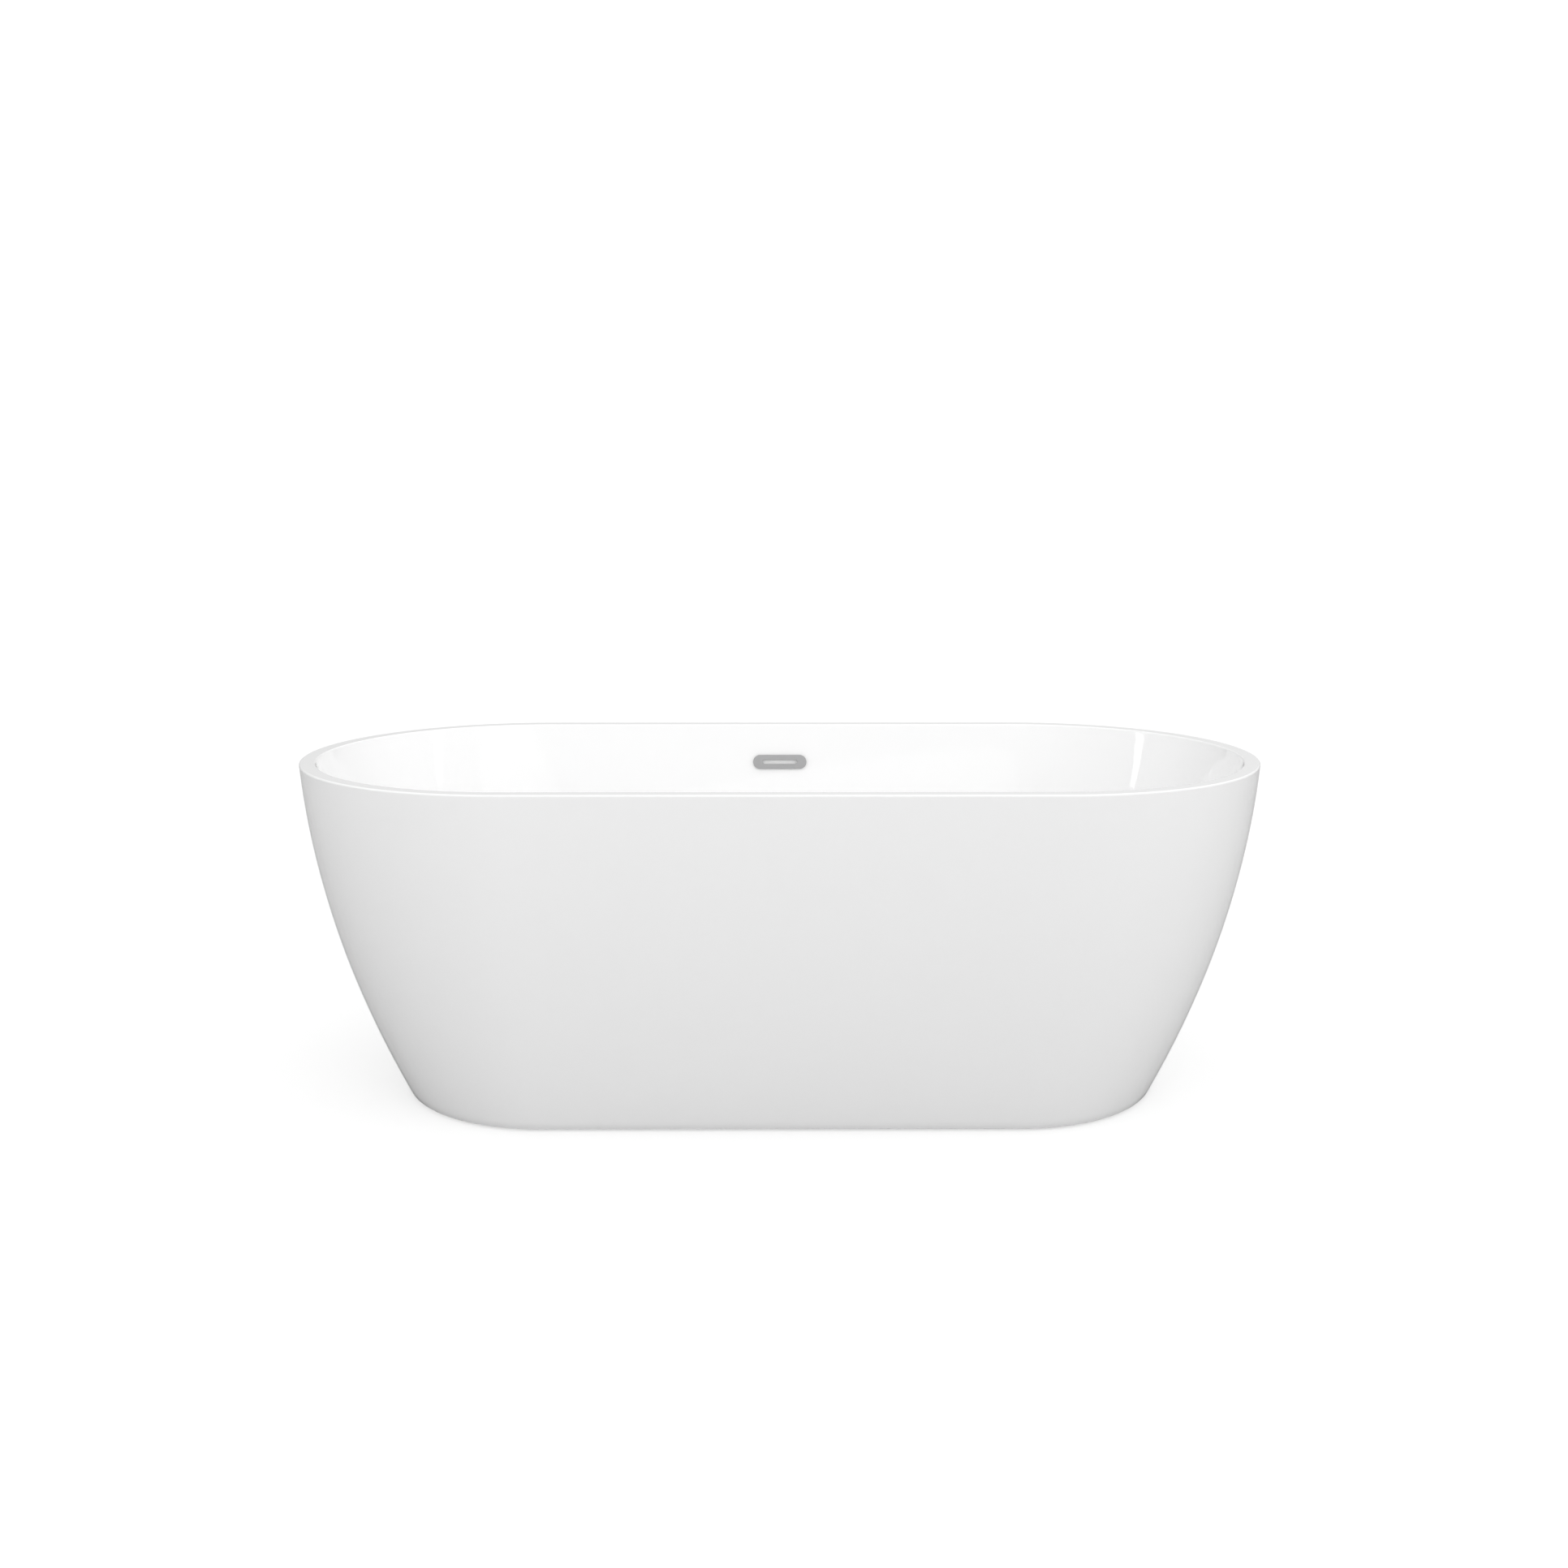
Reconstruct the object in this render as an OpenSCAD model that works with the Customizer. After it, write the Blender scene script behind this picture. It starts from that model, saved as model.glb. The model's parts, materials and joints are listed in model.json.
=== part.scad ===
// Freestanding double-ended bathtub: acrylic basin and apron on a steel frame with four levelling feet,
// a slotted overflow in the back wall and a push-to-open waste in the middle of the floor.
// Frame: origin on the floor under the waste, +X along the tub, +Y towards the overflow, +Z up.

/* [Outer form] */
// Length over the rim
tub_l = 1700; // [1400:10:2100]
// Width over the rim
tub_w = 780; // [650:5:940]
// Height from the floor to the rim
tub_h = 600; // [560:5:720]
// Length of the foot
base_l = 1355; // [1130:5:1630]
// Width of the foot
base_w = 576; // [560:4:700]
// Reach of the rim's round ends along the tub
rim_end = 396; // [330:2:480]
// Reach of the foot's round ends along the tub
base_end = 270; // [220:2:330]
// Belly of the ends: 0 is straight, 1 stands upright at the rim
end_belly = 0.75; // [0:0.05:1]
// Belly of the long sides: 0 is straight, 1 stands upright at the rim
side_belly = 1; // [0.6:0.05:1]
// Wall of the apron
skirt_t = 4.5; // [3:0.5:6]
// Gap between the apron and the floor
floor_gap = 4; // [3:0.5:8]
// Width of the apron's return flange at its foot
flange_w = 30; // [26:1:40]
// Thickness of the return flange
flange_t = 5; // [4:0.5:8]

/* [Basin] */
// Width of the flat rim
rim_w = 28; // [22:1:36]
// Thickness of the rim deck
deck_t = 5; // [4.5:0.5:8]
// Rounding of the rim's edges
rim_r = 3; // [1:0.5:4]
// Wall of the basin
wall_t = 5; // [4:0.5:7]
// Depth from the rim to the waste
bath_depth = 440; // [380:5:450]
// Fall of the floor towards the waste
floor_fall = 4; // [0:1:8]
// Height of the round between walls and floor
corner_h = 100; // [70:5:120]
// Reach of that round along the floor at the ends
corner_end = 120; // [80:5:150]
// Reach of that round along the floor at the sides
corner_side = 110; // [80:5:120]
// Lean of the end walls at the rim, in degrees
end_lean_top = 12; // [6:1:18]
// Lean of the end walls above the round, in degrees
end_lean_low = 40; // [30:1:45]
// Lean of the side walls at the rim, in degrees
side_lean_top = 6; // [4:0.5:9]
// Lean of the side walls above the round, in degrees
side_lean_low = 20; // [14:1:24]
// Radius of the level seat round the waste
waste_seat_r = 50; // [40:1:60]

/* [Frame] */
// Thickness of the board under the basin
board_t = 12; // [9:1:18]
// Length of the board
board_l = 980; // [840:10:1100]
// Radius of the board's hole round the waste
board_hole_r = 60; // [50:1:80]
// Side of the square steel tube
bar = 30; // [25:1:40]
// Wall of the square steel tube
bar_t = 2; // [1.5:0.5:3]
// Length of the long rails
rail_l = 1000; // [900:10:1100]
// Half of the distance between the rails' middles
rail_y = 190; // [170:5:200]
// Place of the inner cross members
cross_x = 300; // [200:10:360]
// Width of the apron's stays
stay_w = 30; // [24:1:40]
// Thickness of the apron's stays
stay_t = 4; // [3:0.5:5]
// Radius of the stays' screws
screw_r = 2.5; // [2:0.25:3]

/* [Feet] */
// Place of the feet along the tub
foot_x = 460; // [380:5:470]
// Radius of the feet's threads
stud_r = 6; // [5:0.5:8]
// Radius of a foot's pad
pad_r = 25; // [20:1:30]
// Height of a foot's pad
pad_h = 22; // [18:1:28]
// Height of the welded nuts
nut_h = 12; // [10:1:16]
// Height of the lock nuts
lock_h = 6; // [5:1:8]
// Running clearance in threads and guides
run_gap = 0.05; // [0.02:0.01:0.09]

/* [Overflow] */
// Depth of the overflow's middle below the rim
over_depth = 74; // [66:1:90]
// Length of the cover
cover_l = 106; // [100:1:120]
// Height of the cover
cover_h = 28; // [27:0.5:32]
// Depth of the cover
cover_d = 4; // [3.5:0.5:6]
// Length of the water slot
slot_l = 68; // [50:1:69]
// Height of the water slot
slot_h = 8; // [5:0.5:9]
// Length of the hole in the wall
port_l = 74; // [72:1:76]
// Height of the hole in the wall
port_h = 16; // [14:0.5:17]
// Half of the distance between the overflow's screws
over_screw_x = 43; // [42.5:0.5:44]
// Radius of the overflow's screws
over_screw_r = 2; // [1.5:0.25:2.25]
// Outer radius of the hose
hose_r = 12.5; // [10:0.5:13]
// Wall of the hose
hose_t = 2.5; // [2:0.25:3]
// Bend radius of the hose
hose_bend = 60; // [50:5:70]
// Height of the hose's low stretch below the frame
hose_drop = 21; // [18:1:26]

/* [Waste] */
// Bore of the waste
waste_r = 20; // [18:0.5:22]
// Wall of the waste's threaded tube
waste_t = 3.5; // [3:0.5:4]
// Radius of the waste's flange
waste_flange_r = 35; // [32:1:42]
// Outer radius of the tail pipe
tail_r = 19.05; // [16:0.05:20]
// Wall of the tail pipe
tail_t = 1.5; // [1:0.25:2.5]
// Height of the tail pipe's end above the floor
tail_end = 24; // [16:1:34]
// Travel of the stopper
stopper_travel = 9; // [6:0.5:10]
// Radius of the stopper's cap
cap_r = 30; // [26:0.5:33]
// Radius of the stopper's stem
stem_r = 6; // [5:0.25:7]

/* [Hidden] */

$fn = 72;
cut = 1;            // how far a cutting tool runs past a face
end_steps = 32;     // facets on each round end of the shells
skirt_steps = 11;   // rings up the apron
wall_steps = 6;     // rings down the basin's wall below the overflow
corner_steps = 7;   // rings round the basin's corner
edge_steps = 3;     // facets on each rounded edge of the rim

white = [0.97, 0.97, 0.96];
steel = [0.62, 0.64, 0.66];
chrome = [0.72, 0.73, 0.75];
rubber = [0.12, 0.12, 0.13];
plastic = [0.90, 0.90, 0.88];

// ---- Outer form ----

// How far the outer form has opened from foot (0) to rim (1) at height z
function opened(z, belly) = let (t = z / tub_h) (1 + belly) * t - belly * t * t;
function outer_a(z) = base_l / 2 + (tub_l - base_l) / 2 * opened(z, end_belly);
function outer_b(z) = base_w / 2 + (tub_w - base_w) / 2 * opened(z, side_belly);
function outer_e(z) = base_end + (rim_end - base_end) * opened(z, end_belly);
function skirt_inside(z) = outer_b(z) - skirt_t;

// ---- Inner form: insets from the rim's outer edge at depth d ----

floor_z = tub_h - bath_depth;
floor_edge_d = bath_depth - floor_fall;
wall_d = floor_edge_d - corner_h;
end_ratio = (rim_end - rim_w) / (tub_w / 2 - rim_w);
function inset(d, top, low) = rim_w + tan(top) * d + (tan(low) - tan(top)) * d * d / (2 * wall_d);
function inner_a(d) = tub_l / 2 - inset(d, end_lean_top, end_lean_low);
function inner_b(d) = tub_w / 2 - inset(d, side_lean_top, side_lean_low);

// The corner between wall and floor is one quadratic curve, from s = 0 on the wall to 1 on the floor
function corner_d(s) = floor_edge_d - corner_h * (1 - s) * (1 - s);
function corner_in(s, low, reach) =
    2 * s * (1 - s) * corner_h * tan(low) + s * s * (corner_h * tan(low) + reach);
function corner_a(s) = inner_a(wall_d) - corner_in(s, end_lean_low, corner_end);
function corner_b(s) = inner_b(wall_d) - corner_in(s, side_lean_low, corner_side);

// ---- Overflow's place: one flat stretch of the back wall ----

over_half = 24;     // half height of the flat stretch
over_z = tub_h - over_depth;
over_top_b = inner_b(over_depth - over_half);
over_low_b = inner_b(over_depth + over_half);
over_y = (over_top_b + over_low_b) / 2;
over_tilt = atan((over_top_b - over_low_b) / (2 * over_half));
module at_overflow() {
    translate([0, over_y, over_z]) rotate([-over_tilt, 0, 0]) children();
}

// ---- Shells as lofts of rings; a ring is [half length, half width, end reach, height] ----

function ring_points(r) = [
    for (side = [1, -1]) for (i = [0 : end_steps])
        let (q = -90 + 180 * i / end_steps)
        [side * (r[0] - r[2] + r[2] * cos(q)), side * r[1] * sin(q), r[3]]
];
ring_n = 2 * (end_steps + 1);
function band(k, m) = [
    for (i = [0 : ring_n - 1])
        let (p = k * ring_n + i, p2 = k * ring_n + (i + 1) % ring_n,
             q = m * ring_n + i, q2 = m * ring_n + (i + 1) % ring_n)
        each [[p, q, q2], [p, q2, p2]]
];
function loft_points(rings) = [for (r = rings) each ring_points(r)];

// A shell's back face lies wall_t behind its front: level behind a wall, below a floor
wall_x = wall_t / cos(over_tilt);
over_end_d = over_depth + over_half;
function laid(d) = min(max((d - over_end_d) / (floor_edge_d - over_end_d), 0), 1) * 90;
function behind(a, b, d) = let (h = wall_x * cos(laid(d)))
    [a + h, b + h, b * end_ratio + h, tub_h - d - wall_t * sin(laid(d))];
function front(a, b, d) = [a, b, b * end_ratio, tub_h - d];

skirt_top = tub_h - deck_t;      // where the apron butts up under the rim's deck
wall_depths = [
    over_depth - over_half, over_end_d,
    for (i = [1 : wall_steps]) over_end_d + (wall_d - over_end_d) * i / wall_steps
];
edge_rings = [
    [outer_a(skirt_top), outer_b(skirt_top), outer_e(skirt_top), skirt_top],
    for (i = [0 : edge_steps]) let (q = 90 * i / edge_steps, in = rim_r * (1 - cos(q)))
        [tub_l / 2 - in, tub_w / 2 - in, rim_end - in, tub_h - rim_r + rim_r * sin(q)],
    for (i = [0 : edge_steps]) let (q = 90 * i / edge_steps, in = rim_w - rim_r + rim_r * sin(q))
        [tub_l / 2 - in, tub_w / 2 - in, rim_end - in, tub_h - rim_r + rim_r * cos(q)]
];
front_rings = [
    for (d = wall_depths) front(inner_a(d), inner_b(d), d),
    for (i = [1 : corner_steps]) let (s = i / corner_steps) front(corner_a(s), corner_b(s), corner_d(s)),
    [waste_seat_r, waste_seat_r, waste_seat_r, floor_z]
];
back_rings = [
    [waste_seat_r, waste_seat_r, waste_seat_r, floor_z - wall_t],
    for (i = [corner_steps : -1 : 1]) let (s = i / corner_steps) behind(corner_a(s), corner_b(s), corner_d(s)),
    for (i = [len(wall_depths) - 1 : -1 : 0]) let (d = wall_depths[i]) behind(inner_a(d), inner_b(d), d),
    behind(inner_a(deck_t), inner_b(deck_t), deck_t)
];
basin_rings = concat(back_rings, edge_rings, front_rings);

module basin() {
    rings = basin_rings;
    last = len(rings) - 1;
    color(white) difference() {
        polyhedron(loft_points(rings), concat(
            [[for (i = [0 : ring_n - 1]) i]],
            [for (k = [0 : last - 1]) each band(k, k + 1)],
            [[for (i = [ring_n - 1 : -1 : 0]) last * ring_n + i]]));
        translate([0, 0, floor_z - wall_t - cut]) cylinder(r = waste_hole_r, h = wall_t + 2 * cut);
        at_overflow() {
            lozenge(port_l, port_h, -2 * cut, wall_t + 2 * cut);
            over_screw_holes(-2 * cut, wall_t + 2 * cut);
        }
    }
}

function skirt_ring(z, in) = [outer_a(z) - in, outer_b(z) - in, outer_e(z) - in, z];
skirt_rings = [
    for (i = [0 : skirt_steps]) skirt_ring(floor_gap + (skirt_top - floor_gap) * i / skirt_steps, 0),
    for (i = [skirt_steps : -1 : 1]) skirt_ring(floor_gap + (skirt_top - floor_gap) * i / skirt_steps, skirt_t),
    skirt_ring(floor_gap + flange_t, skirt_t),
    let (r = skirt_ring(floor_gap, flange_w)) [r[0], r[1], r[2], floor_gap + flange_t],
    skirt_ring(floor_gap, flange_w)
];

module skirt() {
    n = len(skirt_rings);
    color(white) difference() {
        polyhedron(loft_points(skirt_rings), [for (k = [0 : n - 1]) each band(k, (k + 1) % n)]);
        each_stay() translate([0, stay_screw_y, floor_gap - cut])
            cylinder(r = screw_r, h = flange_t + 2 * cut);
    }
}

// ---- Frame ----

board_top = floor_z - wall_t;
bar_top = board_top - board_t;
bar_low = bar_top - bar;
bar_mid = bar_top - bar / 2;
board_w = 2 * rail_y + bar;
board_r = 40;       // corner radius of the board

module base_board() {
    color([0.78, 0.62, 0.42]) translate([0, 0, bar_top]) difference() {
        union() {
            for (trim = [[0, board_r], [board_r, 0]])
                translate([-board_l / 2 + trim[0], -board_w / 2 + trim[1], 0])
                    cube([board_l - 2 * trim[0], board_w - 2 * trim[1], board_t]);
            for (sx = [-1, 1]) for (sy = [-1, 1])
                translate([sx * (board_l / 2 - board_r), sy * (board_w / 2 - board_r), 0])
                    cylinder(r = board_r, h = board_t);
        }
        translate([0, 0, -cut]) cylinder(r = board_hole_r, h = board_t + 2 * cut);
    }
}

// A square steel tube along X, from its middle
module box_bar(l) {
    difference() {
        cube([l, bar, bar], center = true);
        cube([l + 2 * cut, bar - 2 * bar_t, bar - 2 * bar_t], center = true);
    }
}

module rail(sy) {
    color(steel) difference() {
        translate([0, sy * rail_y, bar_mid]) box_bar(rail_l);
        for (sx = [-1, 1]) {
            translate([sx * foot_x, sy * rail_y, bar_low - cut])
                cylinder(r = stud_r + 0.5, h = bar_t + 2 * cut);
            translate([sx * cross_x, sy * (rail_y + bar / 2 + cut), bar_mid]) rotate([sy * 90, 0, 0])
                cylinder(r = screw_r, h = bar_t + 2 * cut);
        }
    }
}
module rail_front() { rail(-1); }
module rail_back() { rail(1); }

module crossbar(x) {
    color(steel) translate([x, 0, bar_mid]) rotate([0, 0, 90]) box_bar(2 * rail_y - bar);
}
end_cross_x = rail_l / 2 - bar / 2;
module crossbar_left() { crossbar(-end_cross_x); }
module crossbar_mid_left() { crossbar(-cross_x); }
module crossbar_mid_right() { crossbar(cross_x); }
module crossbar_right() { crossbar(end_cross_x); }

// The apron's stays: angle plates from the rails' outer faces down to the return flange
rail_out = rail_y + bar / 2;
stay_low = floor_gap + flange_t;
stay_end = outer_b(floor_gap) - skirt_t - 4;    // 4 clear of the apron's wall
stay_screw_y = outer_b(floor_gap) - flange_w / 2 - skirt_t / 2;
module stay() {
    translate([-stay_w / 2, rail_out, stay_low]) cube([stay_w, stay_t, bar_top - stay_low]);
    translate([-stay_w / 2, rail_out, stay_low]) cube([stay_w, stay_end - rail_out, stay_t]);
}
module stay_drilled() {
    difference() {
        stay();
        translate([0, stay_screw_y, stay_low - cut]) cylinder(r = screw_r, h = stay_t + 2 * cut);
        translate([0, rail_out - cut, bar_mid]) rotate([-90, 0, 0])
            cylinder(r = screw_r, h = stay_t + 2 * cut);
    }
}
// Puts its children at a stay: sx is -1 left and 1 right, sy is -1 front and 1 back
module at_stay(sx, sy) {
    translate([sx * cross_x, 0, 0]) mirror([0, sy < 0 ? 1 : 0, 0]) children();
}
module each_stay() {
    for (sx = [-1, 1]) for (sy = [-1, 1]) at_stay(sx, sy) children();
}
module skirt_bracket_front_left() { color(steel) at_stay(-1, -1) stay_drilled(); }
module skirt_bracket_front_right() { color(steel) at_stay(1, -1) stay_drilled(); }
module skirt_bracket_back_left() { color(steel) at_stay(-1, 1) stay_drilled(); }
module skirt_bracket_back_right() { color(steel) at_stay(1, 1) stay_drilled(); }

// A pan-head screw along +Z, its head's seat at 0 and its shank below
module pan_screw(l) {
    difference() {
        cylinder(r1 = screw_r * 1.9, r2 = screw_r * 1.5, h = screw_r);
        translate([0, 0, screw_r * 0.4]) cylinder(r = screw_r * 0.7, h = screw_r, $fn = 6);
    }
    translate([0, 0, -l]) cylinder(r = screw_r, h = l);
}
module bracket_screws() {
    color(chrome) each_stay() {
        translate([0, stay_screw_y, stay_low + stay_t]) pan_screw(stay_t + flange_t);
        translate([0, rail_out + stay_t, bar_mid]) rotate([-90, 0, 0]) pan_screw(stay_t + bar_t + 3);
    }
}

// ---- Levelling feet ----

pitch = 1.75;                                   // thread pitch of the studs, for the joints' coupling
stud_low = 10;
stud_top = bar_top - bar_t - 5;                 // 5 clear of the tube's top wall
hex_h = 8;
module hex(flats, h) { cylinder(r = flats / 2 / cos(30), h = h, $fn = 6); }
module at_foot(sx, sy) { translate([sx * foot_x, sy * rail_y, 0]) children(); }
module each_foot() { for (sx = [-1, 1]) for (sy = [-1, 1]) at_foot(sx, sy) children(); }

module nut(h) {
    difference() {
        hex(3.2 * stud_r, h);
        translate([0, 0, -cut]) cylinder(r = stud_r + run_gap, h = h + 2 * cut);
    }
}
module weld_nuts() { color(steel) each_foot() translate([0, 0, bar_low - nut_h]) nut(nut_h); }
module lock_nuts() { color(steel) each_foot() translate([0, 0, bar_low - nut_h - lock_h]) nut(lock_h); }

module foot_stud() {
    color(chrome) {
        translate([0, 0, stud_low]) cylinder(r = stud_r, h = stud_top - stud_low);
        translate([0, 0, pad_h + 0.5]) hex(2.9 * stud_r, hex_h);
    }
}
module foot_pad() {
    color(rubber) difference() {
        union() {
            cylinder(r1 = pad_r - 1, r2 = pad_r, h = 1);
            translate([0, 0, 1]) cylinder(r = pad_r, h = 5);
            translate([0, 0, 6]) cylinder(r1 = pad_r, r2 = stud_r + 5, h = 6);
            cylinder(r = stud_r + 5, h = pad_h);
        }
        translate([0, 0, stud_low - run_gap]) cylinder(r = stud_r + run_gap, h = pad_h);
    }
}
module foot_stud_front_left() { at_foot(-1, -1) foot_stud(); }
module foot_stud_front_right() { at_foot(1, -1) foot_stud(); }
module foot_stud_back_left() { at_foot(-1, 1) foot_stud(); }
module foot_stud_back_right() { at_foot(1, 1) foot_stud(); }
module foot_pad_front_left() { at_foot(-1, -1) foot_pad(); }
module foot_pad_front_right() { at_foot(1, -1) foot_pad(); }
module foot_pad_back_left() { at_foot(-1, 1) foot_pad(); }
module foot_pad_back_right() { at_foot(1, 1) foot_pad(); }

// ---- Overflow: local Y runs through the wall, 0 on its bathing side ----

// A bar with round ends in the XZ plane, from y0 to y1
module lozenge(l, h, y0, y1) {
    translate([0, y0, 0]) rotate([-90, 0, 0]) {
        translate([-(l - h) / 2, -h / 2, 0]) cube([l - h, h, y1 - y0]);
        for (sx = [-1, 1]) translate([sx * (l - h) / 2, 0, 0]) cylinder(r = h / 2, h = y1 - y0);
    }
}
module over_screw_holes(y0, y1) {
    for (sx = [-1, 1]) translate([sx * over_screw_x, y0, 0]) rotate([-90, 0, 0])
        cylinder(r = over_screw_r, h = y1 - y0);
}
face_t = 1.5;                       // walls of the cover and of the insert's sleeve
insert_t = 2;                       // the insert's flange
gasket_t = 2;
body_y = wall_t + gasket_t;         // front of the body behind the wall
body_flange = 3;
chamber_d = 12;                     // outer depth of the body's chamber
chamber_l = 2 * over_screw_x - 2;
chamber_low = -34;
chamber_top = 13;
body_wall = 2;

module overflow_cover() {
    color(chrome) at_overflow() difference() {
        lozenge(cover_l, cover_h, -cover_d, 0);
        lozenge(cover_l - 2 * face_t, cover_h - 2 * face_t, -cover_d + face_t, cut);
        lozenge(slot_l, slot_h, -cover_d - cut, cut);
    }
}
module overflow_insert() {
    baffle_h = slot_h + 0.4;
    baffle_end = (port_l - port_h) / 2 + sqrt(port_h * port_h - baffle_h * baffle_h) / 2 - face_t / 2;
    color(white) at_overflow() difference() {
        union() {
            difference() {
                union() {
                    lozenge(cover_l - 8, cover_h - 2 * face_t - 1, -insert_t, 0);
                    lozenge(port_l, port_h, -insert_t, wall_t + gasket_t + 1);
                }
                lozenge(port_l - 2 * face_t, port_h - 2 * face_t, -insert_t - cut, body_y + 2);
            }
            translate([-baffle_end, 1, -baffle_h / 2]) cube([2 * baffle_end, face_t, baffle_h]);
        }
        over_screw_holes(-insert_t - cut, cut);
        countersinks();
    }
}
module countersinks() {
    for (sx = [-1, 1]) translate([sx * over_screw_x, -insert_t, 0]) rotate([-90, 0, 0])
        cylinder(r1 = over_screw_r + 1.6, r2 = over_screw_r, h = 1.6);
}
module overflow_screws() {
    color(chrome) at_overflow() difference() {
        union() {
            countersinks();
            over_screw_holes(-insert_t, body_y + 8);
        }
        for (sx = [-1, 1]) translate([sx * over_screw_x, -insert_t - cut, 0]) rotate([-90, 0, 0])
            cylinder(r = over_screw_r * 0.6, h = cut + 1, $fn = 6);
    }
}
module overflow_gasket() {
    color(rubber) at_overflow() difference() {
        lozenge(cover_l - 2, cover_h + 2, wall_t, body_y);
        lozenge(port_l, port_h, wall_t - cut, body_y + cut);
        over_screw_holes(wall_t - cut, body_y + cut);
    }
}

tee_r = waste_r + 5;                // outer radius of the waste's tee, where its spigot starts

// The hose's axis: down the cavity on a slant, round a bend and level to the waste
hose_z = bar_low - hose_drop;
hose_top_z = tub_h - 100;
hose_mid_z = tub_h - 110;                           // midway across the cavity at this height
hose_mid_y = (inner_b(110) + wall_x + skirt_inside(hose_mid_z)) / 2;
hose_low_y = skirt_inside(hose_z) - hose_r - 16;    // 16 clear of the apron below
hose_lean = atan((hose_mid_y - hose_low_y) / (hose_mid_z - hose_z));
hose_tangent = hose_bend * tan((90 - hose_lean) / 2);
function hose_at(z) = [0, hose_low_y + (z - hose_z) * tan(hose_lean), z];
spigot_top = hose_top_z - 30;
spigot_low = spigot_top - 24;
hose_bore = hose_r - hose_t;

// A rod on the slanted stretch of the hose's axis, between two heights
module slant_rod(r, z0, z1) {
    translate(hose_at(z0)) rotate([-hose_lean, 0, 0]) cylinder(r = r, h = (z1 - z0) / cos(hose_lean));
}
module overflow_body() {
    color(plastic) difference() {
        union() {
            at_overflow() {
                lozenge(cover_l - 2, cover_h + 2, body_y, body_y + body_flange);
                translate([-chamber_l / 2, body_y, chamber_low])
                    cube([chamber_l, body_flange + chamber_d, chamber_top - chamber_low]);
                for (sx = [-1, 1]) translate([sx * over_screw_x, body_y, 0]) rotate([-90, 0, 0])
                    cylinder(r = over_screw_r + 3, h = 10);
            }
            slant_rod(hose_r, spigot_top, hose_top_z + 2);
            slant_rod(hose_bore, spigot_low, spigot_top + 1);
        }
        at_overflow() {
            lozenge(port_l, port_h, body_y - cut, body_y + body_flange);
            translate([-over_screw_x + over_screw_r + 3.5, body_y + body_flange - 1, chamber_low + body_wall])
                cube([2 * over_screw_x - 2 * over_screw_r - 7, chamber_d + 1 - body_wall,
                      chamber_top - chamber_low - 2 * body_wall]);
            over_screw_holes(body_y - cut, body_y + 8);
        }
        slant_rod(hose_bore - body_wall, spigot_low - cut, hose_top_z - 4);
    }
}
hose_end_y = tee_r + 4;
hose_bend_y = hose_low_y - hose_tangent;
lap = 1;                            // degrees that the bend runs into each straight stretch
thin = 0.2;                         // the bend's wall is this much thinner inside and out
module hose_bend_solid(r, extend) {
    translate([0, hose_bend_y, hose_z + hose_bend]) rotate([-extend, 0, 0]) rotate([0, 90, 0])
        rotate_extrude(angle = 90 - hose_lean + 2 * extend) translate([hose_bend, 0]) circle(r = r);
}
module overflow_hose() {
    bend_top = hose_z + hose_tangent * cos(hose_lean);
    color([0.75, 0.76, 0.77]) {
        difference() {
            slant_rod(hose_r, bend_top, spigot_top - 2);
            slant_rod(hose_bore, bend_top - cut, spigot_top - 2 + cut);
        }
        difference() {
            hose_bend_solid(hose_r - thin, lap);
            hose_bend_solid(hose_bore + thin, lap + 1);
        }
        difference() {
            translate([0, hose_end_y, hose_z]) rotate([-90, 0, 0])
                cylinder(r = hose_r, h = hose_bend_y - hose_end_y);
            translate([0, hose_end_y - cut, hose_z]) rotate([-90, 0, 0])
                cylinder(r = hose_bore, h = hose_bend_y - hose_end_y + 2 * cut);
        }
    }
}
clip_w = 9;
module clip() {
    difference() {
        union() {
            cylinder(r = hose_r + 0.8, h = clip_w);
            translate([hose_r - 2, -5, 0]) cube([8, 10, clip_w]);
        }
        translate([0, 0, -cut]) cylinder(r = hose_r, h = clip_w + 2 * cut);
    }
}
module hose_clips() {
    color(steel) {
        translate(hose_at(spigot_low + 5)) rotate([-hose_lean, 0, 0]) clip();
        translate([0, tee_r + 8, hose_z]) rotate([-90, 0, 0]) clip();
    }
}

// ---- Waste, all round the Z axis ----

seal_t = 1.5;
flange_z = floor_z + seal_t;                // underside of the waste's flange
disc_t = 3;
disc_top = flange_z + disc_t;
tube_r = waste_r + waste_t;
waste_hole_r = tube_r + 1;
tube_low = hose_z + 20;                     // lower end of the threaded tube
tee_wall = 4;
tee_low = hose_z - 34;                      // lower end of the tee's neck
tee_floor = hose_z - 16;                    // where the tail pipe ends inside
tee_spigot_l = 30;
neck_r = tail_r + 3;
hub_r = 8;
hub_h = 6;
hub_top = tube_low + 18;

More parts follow.
